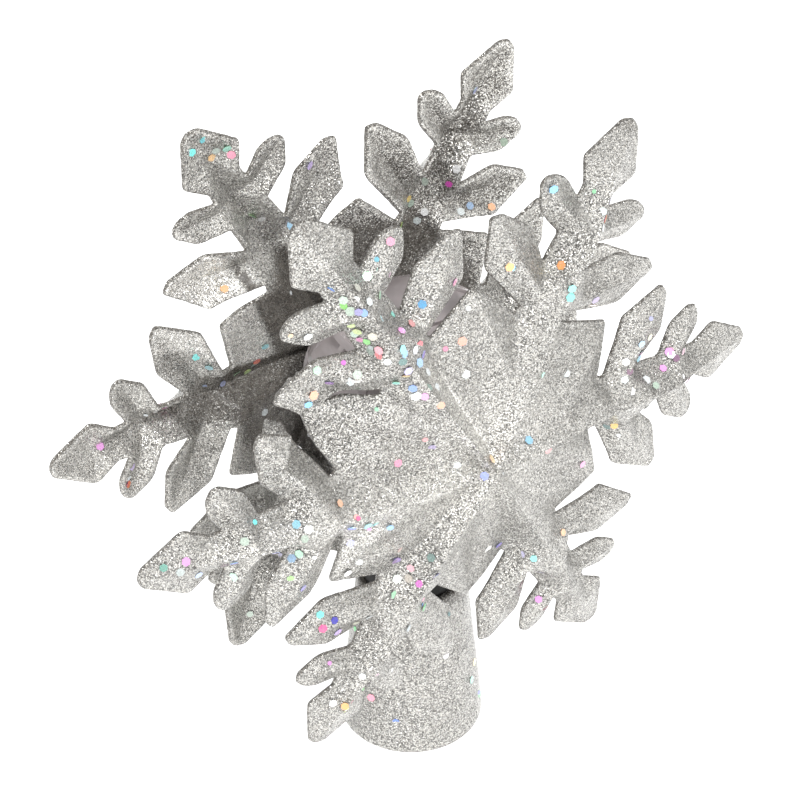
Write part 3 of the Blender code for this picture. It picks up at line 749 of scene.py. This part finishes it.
def arm_axes(x, z, degrees):
    """Shares of RADIUS along and across the line at an angle, and its cosine and sine."""
    c, s = math.cos(math.radians(degrees)), math.sin(math.radians(degrees))
    return ((x * c + (z - CENTRE_Z) * s) / RADIUS, (-x * s + (z - CENTRE_Z) * c) / RADIUS, c, s)


def widen_root(verts):
    """Draw the foot of one branch towards the hub."""
    along, across, c, s = arm_axes(verts[:, 0], verts[:, 2], WIDE_ROOT["angle"])
    # only what lies beyond this bent line moves
    line = np.where(across < 0.256, 0.43 + (across - 0.096) * 0.3125,
                    0.48 + (across - 0.256) * 1.5)
    gap = np.hypot(along - WIDE_ROOT["along"], across - WIDE_ROOT["across"])
    share = (1 - smoothstep(gap, 0.0, WIDE_ROOT["reach"])) * (along > line)
    verts[:, 0] -= WIDE_ROOT["shift"] * RADIUS * share * c
    verts[:, 2] -= WIDE_ROOT["shift"] * RADIUS * share * s


def warp(verts, side):
    if side == FRONT:
        widen_root(verts)
    _, radius, angle = arm_place(verts[:, 0], verts[:, 2])
    x, z = verts[:, 0], verts[:, 2] - CENTRE_Z
    sector = np.floor(angle / 60).astype(int) % 6
    part = (angle / 60) % 1
    nearest = np.where(part < 0.5, sector, (sector + 1) % 6)
    off_arm = np.where(part < 0.5, part, 1 - part) * 60
    # each arm's share fades to nothing on the petals between the arms
    share = 1 - smoothstep(off_arm, 22, 30)
    share = np.maximum(share, smoothstep(radius, 0.54, 0.60)) * smoothstep(radius, 0.15, 1.0)
    bend, turn, stretch = np.array(ARM_WARP[side], float)[nearest].T
    verts[:, 1] += side * bend * share
    turn, scale = turn * share, 1 + stretch * share
    turned_x = x * np.cos(turn) - z * np.sin(turn)
    turned_z = x * np.sin(turn) + z * np.cos(turn)
    verts[:, 0], verts[:, 2] = turned_x * scale, turned_z * scale + CENTRE_Z
    if side == FRONT:
        off_petal = np.abs((angle - BENT_PETAL["angle"] + 180) % 360 - 180)
        share = smoothstep(radius, 0.33, 0.53) * (1 - smoothstep(off_petal, 8, 18))
        share = share * (radius < 0.62)
        scale = 1 + BENT_PETAL["stretch"] * share
        verts[:, 1] += side * BENT_PETAL["bend"] * share
        verts[:, 0] *= scale
        verts[:, 2] = CENTRE_Z + (verts[:, 2] - CENTRE_Z) * scale
    return verts


def inner_cover_and_painted_shade(side, x, z):
    arm, radius, angle = arm_place(x, z)
    # painted shade: inside each arm the flakes thin out away from the rim, which also paints the
    # shade in the hollow
    depth = smoothstep(SHEET_RIM, 0.004, 0.034)
    hollow_cover_and_shade = 1.0 - (1.0 - np.array(INNER_COVER_AND_PAINTED_SHADE[side])[arm]) * depth
    # the hollow of the hub was hidden from the glue, so it is nearly bare inside; it is also painted
    # dark for the shade that falls into it
    bare_with_painted_shade = 1 - smoothstep(radius, 0.395, 0.455)
    if side == REAR:
        # on the rear petal at 150 degrees the bare patch ends at a straight line, a painted shadow
        # edge; on the lit side of it the flakes are painted brighter, which is painted light
        past_shadow_line = (x / RADIUS + 0.331) * 0.9296 + ((z - CENTRE_Z) / RADIUS - 0.280) * 0.3687
        on_petal = (angle > 133) & (angle < 172 - 60 * np.clip(radius - 0.35, 0, 0.2))
        bare_with_painted_shade = np.where(on_petal, smoothstep(past_shadow_line, -0.004, 0.004), bare_with_painted_shade)
        painted_light_boost = 1.0 + 0.68 * (1 - smoothstep(past_shadow_line, -0.02, 0.0))
        hollow_cover_and_shade = np.where(on_petal, painted_light_boost, hollow_cover_and_shade)
        # and the arm at 180 degrees is painted dark for some way out: painted shade
        painted_shade_arm = 0.8 * (1 - smoothstep(radius, 0.44, 0.62)) * (np.abs(angle - 180) < 9)
        bare_with_painted_shade = np.maximum(bare_with_painted_shade, painted_shade_arm)
    return hollow_cover_and_shade * (1 - bare_with_painted_shade) + 0.10 * bare_with_painted_shade


def outer_cover_and_painted_light(side, x, z):
    _, radius, angle = arm_place(x, z)
    # the ends of the arms are rubbed a little thin
    cover_and_painted_light = 1 - 0.25 * smoothstep(radius, 0.93, 1.01)
    if side == REAR:
        return cover_and_painted_light
    for degrees, start, finish, width, end, extra in PAINTED_HIGHLIGHT_STRIPS:
        along, across, _, _ = arm_axes(x, z, degrees)
        off_middle = across - (start + (finish - start) * np.clip(along / 0.44, 0, 1))
        share = (1 - smoothstep(np.abs(off_middle), width * 0.5, width))
        share = share * smoothstep(along, 0.03, 0.10)
        share = share * (1 - smoothstep(along, end - 0.05, end + 0.05))
        if finish < 0:
            # the strip on the steep side stops at the ridge
            share = share * smoothstep(-across, 0.0, 0.008)
        cover_and_painted_light = np.where(cover_and_painted_light > 0.9, np.maximum(cover_and_painted_light, 1 + extra * share), cover_and_painted_light)
    # painted light: the middle of the hub is painted brighter too, and a patch around 196 degrees
    # beside it
    patch = np.exp(-((angle - 196) / 23) ** 2) * smoothstep(radius, 0.10, 0.25)
    patch = patch * (1 - smoothstep(radius, 0.50, 0.60))
    return cover_and_painted_light + (0.30 * (1 - smoothstep(radius, 0.10, 0.30)) + 0.22 * patch)


def surface_samples(verts, triangles, side, outer):
    """Centre, normal and area of each triangle, and 1 on the outer face, 0 on the inner."""
    a, b, c = (verts[triangles[:, k]] for k in range(3))
    normal = np.cross(b - a, c - a)
    double_area = np.linalg.norm(normal, axis=1)
    normal = normal / double_area[:, None]
    wanted = side if outer else -side
    normal *= np.where(normal[:, 1] * wanted < 0, -1, 1)[:, None]
    return (a + b + c) / 3, normal, double_area / 2, outer


def build_shell(name, side, seed):
    # both shells come out of one mould; the rear one is turned round the vertical
    x = -side * RADIUS * -1 * SHEET_POINTS[:, 0] if False else -side * RADIUS * SHEET_POINTS[:, 0]
    z = CENTRE_Z + RADIUS * SHEET_POINTS[:, 1]
    y = side * RADIUS * SHEET_HEIGHTS
    # the coating is a little lumpy, and the moulding isn't perfectly flat
    y = (y + side * 0.00010 * lumps(x, y, z, size=0.0022, seed=seed)
         + side * 0.00030 * lumps(x, y, z, size=0.016, seed=seed + 7))
    loop = SHEET_LOOP
    rim = np.stack([x[loop], z[loop]], 1)
    after = np.roll(rim, -1, 0)
    tangent = after - np.roll(rim, 1, 0)
    tangent /= np.linalg.norm(tangent, axis=1)[:, None]
    area = 0.5 * np.sum(rim[:, 0] * after[:, 1] - after[:, 0] * rim[:, 1])
    outwards = np.stack([tangent[:, 1], -tangent[:, 0]], 1) * (1 if area > 0 else -1)
    count, loop_size, half_wall = len(x), len(loop), WALL / 2
    # outer face, inner face, then the rings of the rounded side wall
    layers = [np.stack([x, y, z], 1), np.stack([x, y - side * WALL, z], 1)]
    uneven = 1 + 0.16 * lumps(rim[:, 0], y[loop], rim[:, 1], size=0.0016, seed=seed + 3)
    for degrees in WALL_ANGLES:
        s, c = math.sin(math.radians(degrees)), math.cos(math.radians(degrees))
        ring = rim + outwards * (half_wall * s * uneven)[:, None]
        ring_y = y[loop] - side * (half_wall - half_wall * c)
        layers.append(np.stack([ring[:, 0], ring_y, ring[:, 1]], 1))
    outer = SHEET_FACES[:, ::-1] if side > 0 else SHEET_FACES
    inner = outer[:, ::-1]
    faces = list(outer) + list(inner + count)
    rings = [2 * count + k * loop_size + np.arange(loop_size) for k in range(len(WALL_ANGLES))]
    rings = [loop] + rings + [loop + count]
    for upper, lower in zip(rings[:-1], rings[1:]):
        for i in range(loop_size):
            j = (i + 1) % loop_size
            faces.append((int(upper[i]), int(lower[i]), int(lower[j]), int(upper[j])))
    verts = warp(np.vstack(layers), side)
    obj = new_object(name, verts, faces, GLITTER[side])
    face_outwards(obj.data)
    set_cover_and_painted_light(obj.data, np.concatenate([outer_cover_and_painted_light(side, x, z), inner_cover_and_painted_shade(side, x, z),
                                        np.repeat(WALL_COVER, loop_size)]))
    samples = [surface_samples(verts[:count], outer, side, 1),
               surface_samples(verts[count:2 * count], inner, side, 0)]
    return obj, samples


# ---------------------------------------------------------------- screw bosses
# Operation, start and end in Y, radius, segments.
FRONT_BOSS = [
    ('UNION', -0.0018, -0.0333, 0.0030, 40),        # boss
    ('DIFFERENCE', -0.0010, -0.0200, 0.00145, 24),  # pilot hole
]
REAR_BOSS = [
    ('UNION', 0.0018, 0.0318, 0.0040, 40),          # boss
    ('DIFFERENCE', 0.0010, 0.0200, 0.0017, 24),     # bore
    ('DIFFERENCE', 0.0140, 0.0600, 0.0029, 40),     # counterbore
]
BOSS_COVER = 0.55                    # flake cover on the bosses
SHELL_SHARP_ANGLE = math.radians(34)


def rod(x, z, start, end, radius, segments):
    """A closed cylinder along Y."""
    bm = bmesh.new()
    bmesh.ops.create_cone(bm, cap_ends=True, segments=segments, radius1=radius,
                          radius2=radius, depth=abs(end - start))
    quarter_turn = Matrix.Rotation(math.radians(90), 3, 'X')
    bmesh.ops.rotate(bm, verts=bm.verts, cent=(0, 0, 0), matrix=quarter_turn)
    bmesh.ops.translate(bm, verts=bm.verts, vec=(x, (start + end) / 2, z))
    mesh = bpy.data.meshes.new("rod")
    bm.to_mesh(mesh)
    bm.free()
    set_cover_and_painted_light(mesh, np.full(len(mesh.vertices), BOSS_COVER))
    obj = bpy.data.objects.new("rod", mesh)
    COLLECTION.objects.link(obj)
    return obj


def add_bosses(obj, steps):
    tools = []
    for node in ("shell_screw_left", "shell_screw_right"):
        low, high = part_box(node)
        screw_x, screw_z = (low[0] + high[0]) / 2, (low[2] + high[2]) / 2
        tools += [(step[0], rod(screw_x, screw_z, *step[1:])) for step in steps]
    for operation, tool in tools:
        modifier = obj.modifiers.new("bool", 'BOOLEAN')
        modifier.operation, modifier.solver, modifier.object = operation, 'EXACT', tool
    bpy.context.view_layer.update()
    depsgraph = bpy.context.evaluated_depsgraph_get()
    mesh = bpy.data.meshes.new_from_object(obj.evaluated_get(depsgraph))
    obj.modifiers.clear()
    old = obj.data
    obj.data = mesh
    mesh.name = obj.name
    bpy.data.meshes.remove(old)
    for _, tool in tools:
        data = tool.data
        bpy.data.objects.remove(tool)
        bpy.data.meshes.remove(data)


front_shell, front_samples = build_shell("front_shell", FRONT, seed=3.1)
rear_shell, rear_samples = build_shell("rear_shell", REAR, seed=11.7)
for shell, steps, node in ((front_shell, FRONT_BOSS, "front_snowflake_shell"),
                           (rear_shell, REAR_BOSS, "rear_snowflake_shell")):
    add_bosses(shell, steps)
    shell.data.shade_smooth()
    shell.data.set_sharp_from_angle(angle=SHELL_SHARP_ANGLE)
    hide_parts(node)

# ================================================================ socket cone
# The coating makes the socket a little stouter.
CONE_BOTTOM_RADIUS = cone_high[0] + 0.0010
CONE_TOP_RADIUS = 0.01571 + 0.0009
CONE_WALL = 0.0016
CONE_WEB = 0.0016                    # thickness of the flange round the top hole
CONE_HOLE = 0.0128                   # radius of the top hole
CONE_EDGE = 0.0009                   # rounding of the top edge
CONE_SEGMENTS = 168
CONE_LUMP, CONE_LUMP_SIZE, CONE_LUMP_SEED = 0.00012, 0.0022, 4.0
CONE_FLAT_FOOT = 0.0006              # no lumps below this height


def cone_profile():
    """Closed section as (radius, height): foot, outside, top edge, hole, inside."""
    bottom, top, height = CONE_BOTTOM_RADIUS, CONE_TOP_RADIUS, CONE_HEIGHT
    under_web = height - CONE_WEB
    profile = [(bottom - CONE_WALL + 0.0004, 0.0), (bottom - 0.0005, 0.0),
               (bottom - 0.00012, 0.0004)]
    profile += [(bottom + (top - bottom) * t, height * t) for t in np.linspace(0.02, 0.975, 34)]
    for step in range(5):
        angle = math.radians(10 + (90 - 10) * step / 4)
        profile.append((top - CONE_EDGE + CONE_EDGE * math.cos(angle),
                        height - CONE_EDGE + CONE_EDGE * math.sin(angle)))
    profile += [(CONE_HOLE + 0.0003, height), (CONE_HOLE, height - 0.0003),
                (CONE_HOLE, under_web + 0.0002), (CONE_HOLE + 0.0002, under_web),
                (top - CONE_WALL - 0.0006, under_web), (top - CONE_WALL, under_web - 0.0008)]
    profile += [(top - CONE_WALL + (bottom - top) * t, height * (1 - t))
                for t in np.linspace(0.06, 0.98, 24)]
    return profile


def build_socket_cone():
    profile = cone_profile()
    count = len(profile)
    verts, faces = [], []
    for i in range(CONE_SEGMENTS):
        angle = 2 * math.pi * i / CONE_SEGMENTS
        for radius, z in profile:
            x, y = radius * math.cos(angle), radius * math.sin(angle)
            if z > CONE_FLAT_FOOT:
                spot = Vector((x / CONE_LUMP_SIZE + CONE_LUMP_SEED, y / CONE_LUMP_SIZE,
                               z / CONE_LUMP_SIZE))
                swell = 1 + CONE_LUMP / radius * noise.noise(spot)
                x, y = x * swell, y * swell
            verts.append((x, y, z))
    for i in range(CONE_SEGMENTS):
        j = (i + 1) % CONE_SEGMENTS
        for k in range(count):
            m = (k + 1) % count
            faces.append((i * count + k, j * count + k, j * count + m, i * count + m))
    obj = new_object("socket_cone", verts, faces, GLITTER_SOCKET)
    face_outwards(obj.data)
    obj.data.shade_smooth()
    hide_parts("tree_socket_cone")


build_socket_cone()

# ================================================================ lens ball
ROWS, COLUMNS = 8, 13
ROW_ANGLE, COLUMN_ANGLE = math.pi / ROWS, 2 * math.pi / COLUMNS
BALL_OUT, BALL_IN = BALL_RADIUS - 0.0003, BALL_RADIUS - 0.0030
SEAM_LATITUDE = 0.005                # each half stops this far from the equator, radians
OPENING_RADIUS = 0.0112              # hole in the bottom of the lower half
# Places of the mesh lines within a row, as shares; the close pairs are the panel edges.
PANEL_CUTS = [0.0, 0.085, 0.105, 0.30, 0.50, 0.70, 0.895, 0.915]
PANEL_EDGE = 0.095                   # share of a row or column left as frame on each side
BALL_SHARP_ANGLE = math.radians(16)


def direction(latitude, longitude):
    return np.array([math.cos(latitude) * math.cos(longitude),
                     math.cos(latitude) * math.sin(longitude), math.sin(latitude)])


def row_shift(row):
    """Odd rows are set half a column round."""
    return 0.5 * COLUMN_ANGLE if row % 2 else 0


def panel_planes():
    """Each window is a flat panel that leans out at its lower edge: (normal, offset)."""
    draw = random.Random(5)
    planes = {}
    for row in range(ROWS):
        for column in range(COLUMNS):
            latitude = -math.pi / 2 + row * ROW_ANGLE
            longitude = column * COLUMN_ANGLE + row_shift(row)
            top = BALL_OUT - 0.00085 - draw.uniform(0, 0.00025)
            low = BALL_OUT - 0.00015 - draw.uniform(0, 0.00030)
            # share of the row, share of the column, radius
            a, b, c = (direction(latitude + up * ROW_ANGLE, longitude + over * COLUMN_ANGLE) * out
                       for up, over, out in ((0.90, 0.1, top), (0.90, 0.9, top), (0.10, 0.5, low)))
            normal = np.cross(b - a, c - a)
            normal /= np.linalg.norm(normal)
            planes[row, column] = (normal, float(normal @ a))
    return planes


def ball_latitudes(upper):
    """Mesh rows of one half, from the bottom up: (latitude, panel row, share of that row)."""
    rows = range(ROWS // 2, ROWS) if upper else range(0, ROWS // 2)
    stations = [(-math.pi / 2 + (row + cut) * ROW_ANGLE, row, cut)
                for row in rows for cut in PANEL_CUTS]
    if upper:
        return [(max(latitude, SEAM_LATITUDE), row, cut) for latitude, row, cut in stations
                if latitude < math.radians(88)]
    stations.append((-SEAM_LATITUDE, ROWS // 2 - 1, 0.999))
    opening = -math.acos(min(0.99, OPENING_RADIUS / BALL_OUT))
    return [(opening, 0, 0.5)] + [station for station in stations if station[0] > opening + 0.02]


def outer_radius(planes, towards, longitude, row, cut):
    """Radius of the outside along a direction: flat on a panel, else on the sphere."""
    turns = (longitude - row_shift(row)) / COLUMN_ANGLE
    column, over = int(math.floor(turns)) % COLUMNS, turns - math.floor(turns)
    on_panel = all(PANEL_EDGE < share < 1 - PANEL_EDGE for share in (over, cut))
    if row in (0, ROWS - 1) or not on_panel:
        return BALL_OUT
    normal, offset = planes[row, column]
    return min(BALL_OUT + 0.0001, offset / float(normal @ towards))


def build_ball_half(name, node, upper):
    planes = panel_planes()
    latitudes = ball_latitudes(upper)
    # the shifted rows have their panel edges half a column round
    column_cuts = sorted(set(PANEL_CUTS + [(cut + 0.5) % 1 for cut in PANEL_CUTS]))
    longitudes = [(j + cut) * COLUMN_ANGLE for j in range(COLUMNS) for cut in column_cuts]
    outer, inner = [], []
    for latitude, row, cut in latitudes:
        for longitude in longitudes:
            towards = direction(latitude, longitude)
            outer.append(towards * outer_radius(planes, towards, longitude, row, cut))
            inner.append(towards * BALL_IN)
    row_count, size = len(latitudes), len(longitudes)
    inner_start = row_count * size
    verts = [(x, y, z + BALL_Z) for x, y, z in outer + inner]
    faces = []
    for layer in (0, inner_start):
        for i in range(row_count - 1):
            for j in range(size):
                k = (j + 1) % size
                low, high = layer + i * size, layer + (i + 1) * size
                face = (low + j, low + k, high + k, high + j)
                faces.append(face[::-1] if layer else face)
    # close the wall at the seam, and at the lower half's opening
    for i in ([0] if upper else [0, row_count - 1]):
        for j in range(size):
            k = (j + 1) % size
            out_row, in_row = i * size, inner_start + i * size
            face = (out_row + j, in_row + j, in_row + k, out_row + k)
            faces.append(face if i == 0 else face[::-1])
    if upper:
        for layer, radius in ((0, BALL_OUT), (inner_start, BALL_IN)):
            verts.append((0, 0, BALL_Z + radius))
            pole = len(verts) - 1
            last = layer + (row_count - 1) * size
            for j in range(size):
                face = (last + j, last + (j + 1) % size, pole)
                faces.append(face[::-1] if layer else face)
    obj = new_object(name, verts, faces, LENS, body=BALL)
    face_outwards(obj.data)
    obj.data.shade_smooth()
    obj.data.set_sharp_from_angle(angle=BALL_SHARP_ANGLE)
    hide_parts(node)


build_ball_half("ball_upper", "lens_ball_upper", upper=True)
build_ball_half("ball_lower", "lens_ball_lower", upper=False)

# ================================================================ sequins
# sRGB colour out of 255, and how often it comes up.
SEQUIN_COLOURS = [
    ((236, 244, 246), 16), ((252, 252, 252), 10), ((243, 160, 216), 7), ((236, 96, 186), 5),
    ((247, 190, 140), 9), ((250, 205, 110), 6), ((214, 236, 112), 4), ((112, 214, 104), 5),
    ((158, 234, 204), 8), ((128, 232, 236), 6), ((128, 180, 234), 7), ((112, 132, 216), 5),
    ((118, 84, 180), 5), ((192, 178, 236), 6), ((224, 74, 84), 4), ((236, 150, 150), 7),
    ((196, 192, 172), 9), ((158, 180, 166), 8), ((52, 112, 112), 4), ((122, 88, 104), 3),
]
SEQUIN_DENSITY = 1.3                 # multiplies every number in the plans
SEQUIN_HALF = 0.00004                # half a sequin's thickness
RIM_CLEARANCE = 0.010                # sequins keep off the rim, share of RADIUS
CROWDED = 0.0019                     # closer centres than this overlap


def linear_colour(*levels):
    return tuple((level / 255 / 12.92) if level <= 10 else ((level / 255 + 0.055) / 1.055) ** 2.4
                 for level in levels)


def hexagon(centre, normal, side_on, radius):
    """Twelve corners and eight faces of a thin hexagonal plate."""
    across = normal.cross(side_on)
    verts = []
    for k in range(6):
        angle = math.pi / 3 * k
        spoke = side_on * (math.cos(angle) * radius) + across * (math.sin(angle) * radius)
        verts += [centre + spoke + normal * SEQUIN_HALF, centre + spoke - normal * SEQUIN_HALF]
    faces = [[2 * k for k in range(6)], [2 * k + 1 for k in range(5, -1, -1)]]
    for k in range(6):
        j = (k + 1) % 6
        faces.append([2 * k, 2 * k + 1, 2 * j + 1, 2 * j])
    return verts, faces


def scatter(name, samples, plan, seed, rim_distance=None):
    """plan: (number, weight function of (arm, radius, angle, outer))."""
    draw = np.random.RandomState(seed)
    colours = np.array([linear_colour(*colour) for colour, _ in SEQUIN_COLOURS])
    chances = np.array([often for _, often in SEQUIN_COLOURS], float)
    chances /= chances.sum()
    centres = np.vstack([sample[0] for sample in samples])
    normals = np.vstack([sample[1] for sample in samples])
    areas = np.concatenate([sample[2] for sample in samples])
    outer = np.concatenate([np.full(len(sample[0]), sample[3]) for sample in samples])
    if rim_distance is not None:
        areas = areas * (np.concatenate([rim_distance] * len(samples)) > RIM_CLEARANCE)
    arm, radius, angle = arm_place(centres[:, 0], centres[:, 2])
    verts, faces, vert_colours, placed = [], [], [], []
    for number, weight in plan:
        number = int(round(number * SEQUIN_DENSITY))
        weights = areas * weight(arm, radius, angle, outer)
        picks = draw.choice(len(centres), size=number * 3, p=weights / weights.sum())
        got = 0
        for pick in picks:
            if got >= number:
                break
            # some gather beside one that is there already
            if got > 2 and draw.rand() < 0.30:
                neighbour = placed[draw.randint(len(placed) - got, len(placed))]
                aim = neighbour + draw.normal(0, 0.0030, 3)
                outside = np.where(weights > 0, 0.0, 1.0)
                pick = int(np.argmin(np.linalg.norm(centres - aim, axis=1) + outside))
            point = centres[pick] + draw.uniform(-0.0003, 0.0003, 3)
            crowd = sum(np.linalg.norm(other - point) < CROWDED for other in placed)
            if crowd and draw.rand() < 0.75:
                continue
            placed.append(point)
            got += 1
            tilt = Vector(draw.normal(0, 0.13, 3))
            normal = (Vector(normals[pick]) + tilt).normalized()
            spin = Matrix.Rotation(draw.uniform(0, 2 * math.pi), 3, normal)
            side_on = spin @ normal.orthogonal().normalized()
            full_size = draw.rand() < 0.86
            size = draw.uniform(*((0.00110, 0.00136) if full_size else (0.00060, 0.00085)))
            # a sequin lies higher the more others are below it
            lift = 0.00012 + 0.00012 * draw.rand() + 0.00022 * float(crowd)
            centre = Vector(point) + normal * (lift + 0.00008)
            colour = colours[draw.choice(len(colours), p=chances)] * draw.uniform(0.80, 1.05)
            # painted reflection: most are washed towards white, standing in for the light they flash
            # back
            painted_flash = draw.beta(1.2, 1.8)
            colour = colour * (1 - 0.65 * painted_flash) + 0.60 * painted_flash * 0.65
            base = len(verts)
            new_verts, new_faces = hexagon(centre, normal, side_on, size)
            verts += new_verts
            faces += [[base + k for k in face] for face in new_faces]
            vert_colours += [(*np.clip(colour, 0, 1), 1.0)] * len(new_verts)
    obj = new_object(name, verts, faces, SEQUIN_FOIL, smooth=False)
    attribute = obj.data.color_attributes.new("flake", 'FLOAT_COLOR', 'POINT')
    attribute.data.foreach_set("color", np.array(vert_colours, np.float32).ravel())


def on_arm(which, number, low, high, face, crowding=0.0):
    """Sequins on one arm between two radii; crowding draws them to the ridge line."""
    def weight(arm, radius, angle, outer):
        off = np.abs((angle - 60 * which + 180) % 360 - 180)
        share = (arm == which) & (radius > low) & (radius < high) & (outer == face)
        share = share & ((off < 20) | (radius > 0.5))
        return share * (1 + crowding * np.exp(-(radius * np.sin(np.radians(off)) / 0.05) ** 2))
    return number, weight


def on_ring(number, low, high, face):
    """Sequins anywhere between two radii."""
    return number, lambda arm, radius, angle, outer: (
        (radius > low) & (radius < high) & (outer == face))


INNER, OUTER = 0, 1
HUB = (-1.0, 0.40)                   # radii that take in the whole hub
# Arm, number, from radius, to radius, crowding.
FRONT_ARMS = [(0, 24, 0.42, 0.95, 1.0), (1, 11, 0.45, 0.95, 0.0), (2, 46, 0.38, 0.80, 1.5),
              (3, 20, 0.35, 0.95, 1.5), (4, 20, 0.30, 0.85, 0.5), (5, 6, 0.45, 0.90, 0.0)]
REAR_INNER_NUMBERS = (5, 13, 11, 14, 6, 5)       # by arm
REAR_OUTER_NUMBERS = (18, 22, 14, 26, 12, 17)

front_plan = [on_arm(arm, number, low, high, OUTER, crowding)
              for arm, number, low, high, crowding in FRONT_ARMS]
front_plan += [on_ring(16, *HUB, OUTER), on_ring(9, 0.35, 0.52, OUTER),
               on_ring(34, 0.1, math.inf, INNER)]
rear_plan = [on_arm(arm, number, 0.30, 0.95, INNER, crowding=1.0)
             for arm, number in enumerate(REAR_INNER_NUMBERS)]
rear_plan += [on_arm(arm, number, 0.36, 0.94, OUTER, crowding=0.6)
              for arm, number in enumerate(REAR_OUTER_NUMBERS)]
rear_plan += [on_ring(20, *HUB, OUTER), on_ring(4, *HUB, INNER)]
sample_rim = SHEET_RIM[SHEET_FACES].mean(1)
scatter("front_sequins", front_samples, front_plan, seed=21, rim_distance=sample_rim)
scatter("rear_sequins", rear_samples, rear_plan, seed=34, rim_distance=sample_rim)


def cone_samples():
    """Evenly weighted places on the outside of the socket cone."""
    centres, normals = [], []
    slope = (CONE_BOTTOM_RADIUS - CONE_TOP_RADIUS) / CONE_HEIGHT
    for i in range(60):
        for j in range(24):
            angle = 2 * math.pi * (i + 0.37 * (j % 3)) / 60
            t = 0.06 + 0.88 * j / 23
            radius = CONE_BOTTOM_RADIUS + (CONE_TOP_RADIUS - CONE_BOTTOM_RADIUS) * t
            c, s = math.cos(angle), math.sin(angle)
            centres.append((radius * c, radius * s, CONE_HEIGHT * t))
            normals.append(tuple(Vector((c, s, slope)).normalized()))
    return [(np.array(centres), np.array(normals), np.ones(len(centres)), OUTER)]


scatter("socket_sequins", cone_samples(), [on_ring(12, -1.0, math.inf, OUTER)], seed=8)

# ================================================================ finishes of the CAD parts
FINISHES = [
    (BLACK, ["base_drum", "drum_cap", "motor_plate", "power_socket"]),
    (BOARD, ["control_board", "led_board"]),
    (STEEL, ["gear_motor", "motor_pinion", "thrust_washer"]),
    (STEEL_TUBE, ["light_post"]),
    (STEEL, ["shell_screw_left", "shell_screw_right", "motor_screw_1", "motor_screw_2"]),
    (NYLON, ["drive_gear", "lens_carrier"]),
    (SHEATH, ["led_lead", "motor_lead"]),
    (LED_RED, ["led_red"]),
    (LED_GREEN, ["led_green"]),
    (LED_BLUE, ["led_blue"]),
    (LED_WHITE, ["led_white"]),
]
for material, nodes in FINISHES:
    for node in nodes:
        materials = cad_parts[node].data.materials
        if not materials:
            materials.append(material)
        for i in range(len(materials)):
            materials[i] = material

# ================================================================ staging
FLOOR_HALF = 6
floor_corners = [(x * FLOOR_HALF, y * FLOOR_HALF, 0) for x, y in ((-1, -1), (1, -1), (1, 1), (-1, 1))]
floor = new_object("floor", floor_corners, [(0, 1, 2, 3)], body=None)
floor.data.materials.append(floor_paint("floor_pale"))


def build_world():
    """A white light tent, brighter overhead than at the sides."""
    world = bpy.data.worlds.new("studio")
    bpy.context.scene.world = world
    world.use_nodes = True
    tree = world.node_tree
    background = tree.nodes["Background"]
    background.inputs["Color"].default_value = (1.0, 1.0, 1.0, 1.0)
    coordinates = tree.nodes.new("ShaderNodeTexCoord")
    separate = tree.nodes.new("ShaderNodeSeparateXYZ")
    strength = tree.nodes.new("ShaderNodeMapRange")
    strength.interpolation_type = 'SMOOTHSTEP'
    # height of the view direction from, to; strength from, to
    for index, value in enumerate((0.10, 0.85, 0.46, 1.00), 1):
        strength.inputs[index].default_value = value
    tree.links.new(coordinates.outputs["Generated"], separate.inputs[0])
    tree.links.new(separate.outputs["Z"], strength.inputs[0])
    tree.links.new(strength.outputs[0], background.inputs["Strength"])


def backwards(azimuth, elevation):
    """Unit vector from the snowflake to a viewer, from angles in radians; azimuth 0 is
    straight in front, negative to the left."""
    return Vector((math.sin(azimuth) * math.cos(elevation),
                   -math.cos(azimuth) * math.cos(elevation), math.sin(elevation)))


def area_light(name, azimuth, elevation, distance, size, power):
    """A round soft light aimed at the snowflake's centre; angles in degrees."""
    light = bpy.data.lights.new(name, 'AREA')
    light.shape = 'DISK'
    light.size = size
    light.energy = power
    obj = bpy.data.objects.new(name, light)
    COLLECTION.objects.link(obj)
    back = backwards(math.radians(azimuth), math.radians(elevation))
    obj.location = Vector((0, 0, CENTRE_Z)) + back * distance
    obj.rotation_mode = 'QUATERNION'
    obj.rotation_quaternion = back.to_track_quat('Z', 'Y')


def build_camera():
    data = bpy.data.cameras.new("camera")
    data.sensor_width = 36.0
    data.lens = 86.0526
    data.clip_start, data.clip_end = 0.01, 50
    camera = bpy.data.objects.new("camera", data)
    COLLECTION.objects.link(camera)
    azimuth, elevation = math.radians(-32.9611), math.radians(35.6194)
    roll = math.radians(0.0547)
    back = backwards(azimuth, elevation)
    level = Vector((math.cos(azimuth), math.sin(azimuth), 0))
    upright = back.cross(level)
    right = level * math.cos(roll) - upright * math.sin(roll)
    up = level * math.sin(roll) + upright * math.cos(roll)
    # place in RADIUS from the snowflake's centre
    place = (-2.43010 * RADIUS, -3.68444 * RADIUS, CENTRE_Z + 3.16035 * RADIUS)
    rows = [(right[i], up[i], back[i], place[i]) for i in range(3)]
    camera.matrix_world = Matrix((*rows, (0, 0, 0, 1)))
    bpy.context.scene.camera = camera


build_world()
area_light("key", azimuth=3, elevation=57, distance=1.6, size=0.32, power=17.0)
area_light("front_low", azimuth=-20, elevation=14, distance=1.6, size=0.30, power=7.0)
build_camera()
bpy.context.scene.view_settings.view_transform = 'Standard'
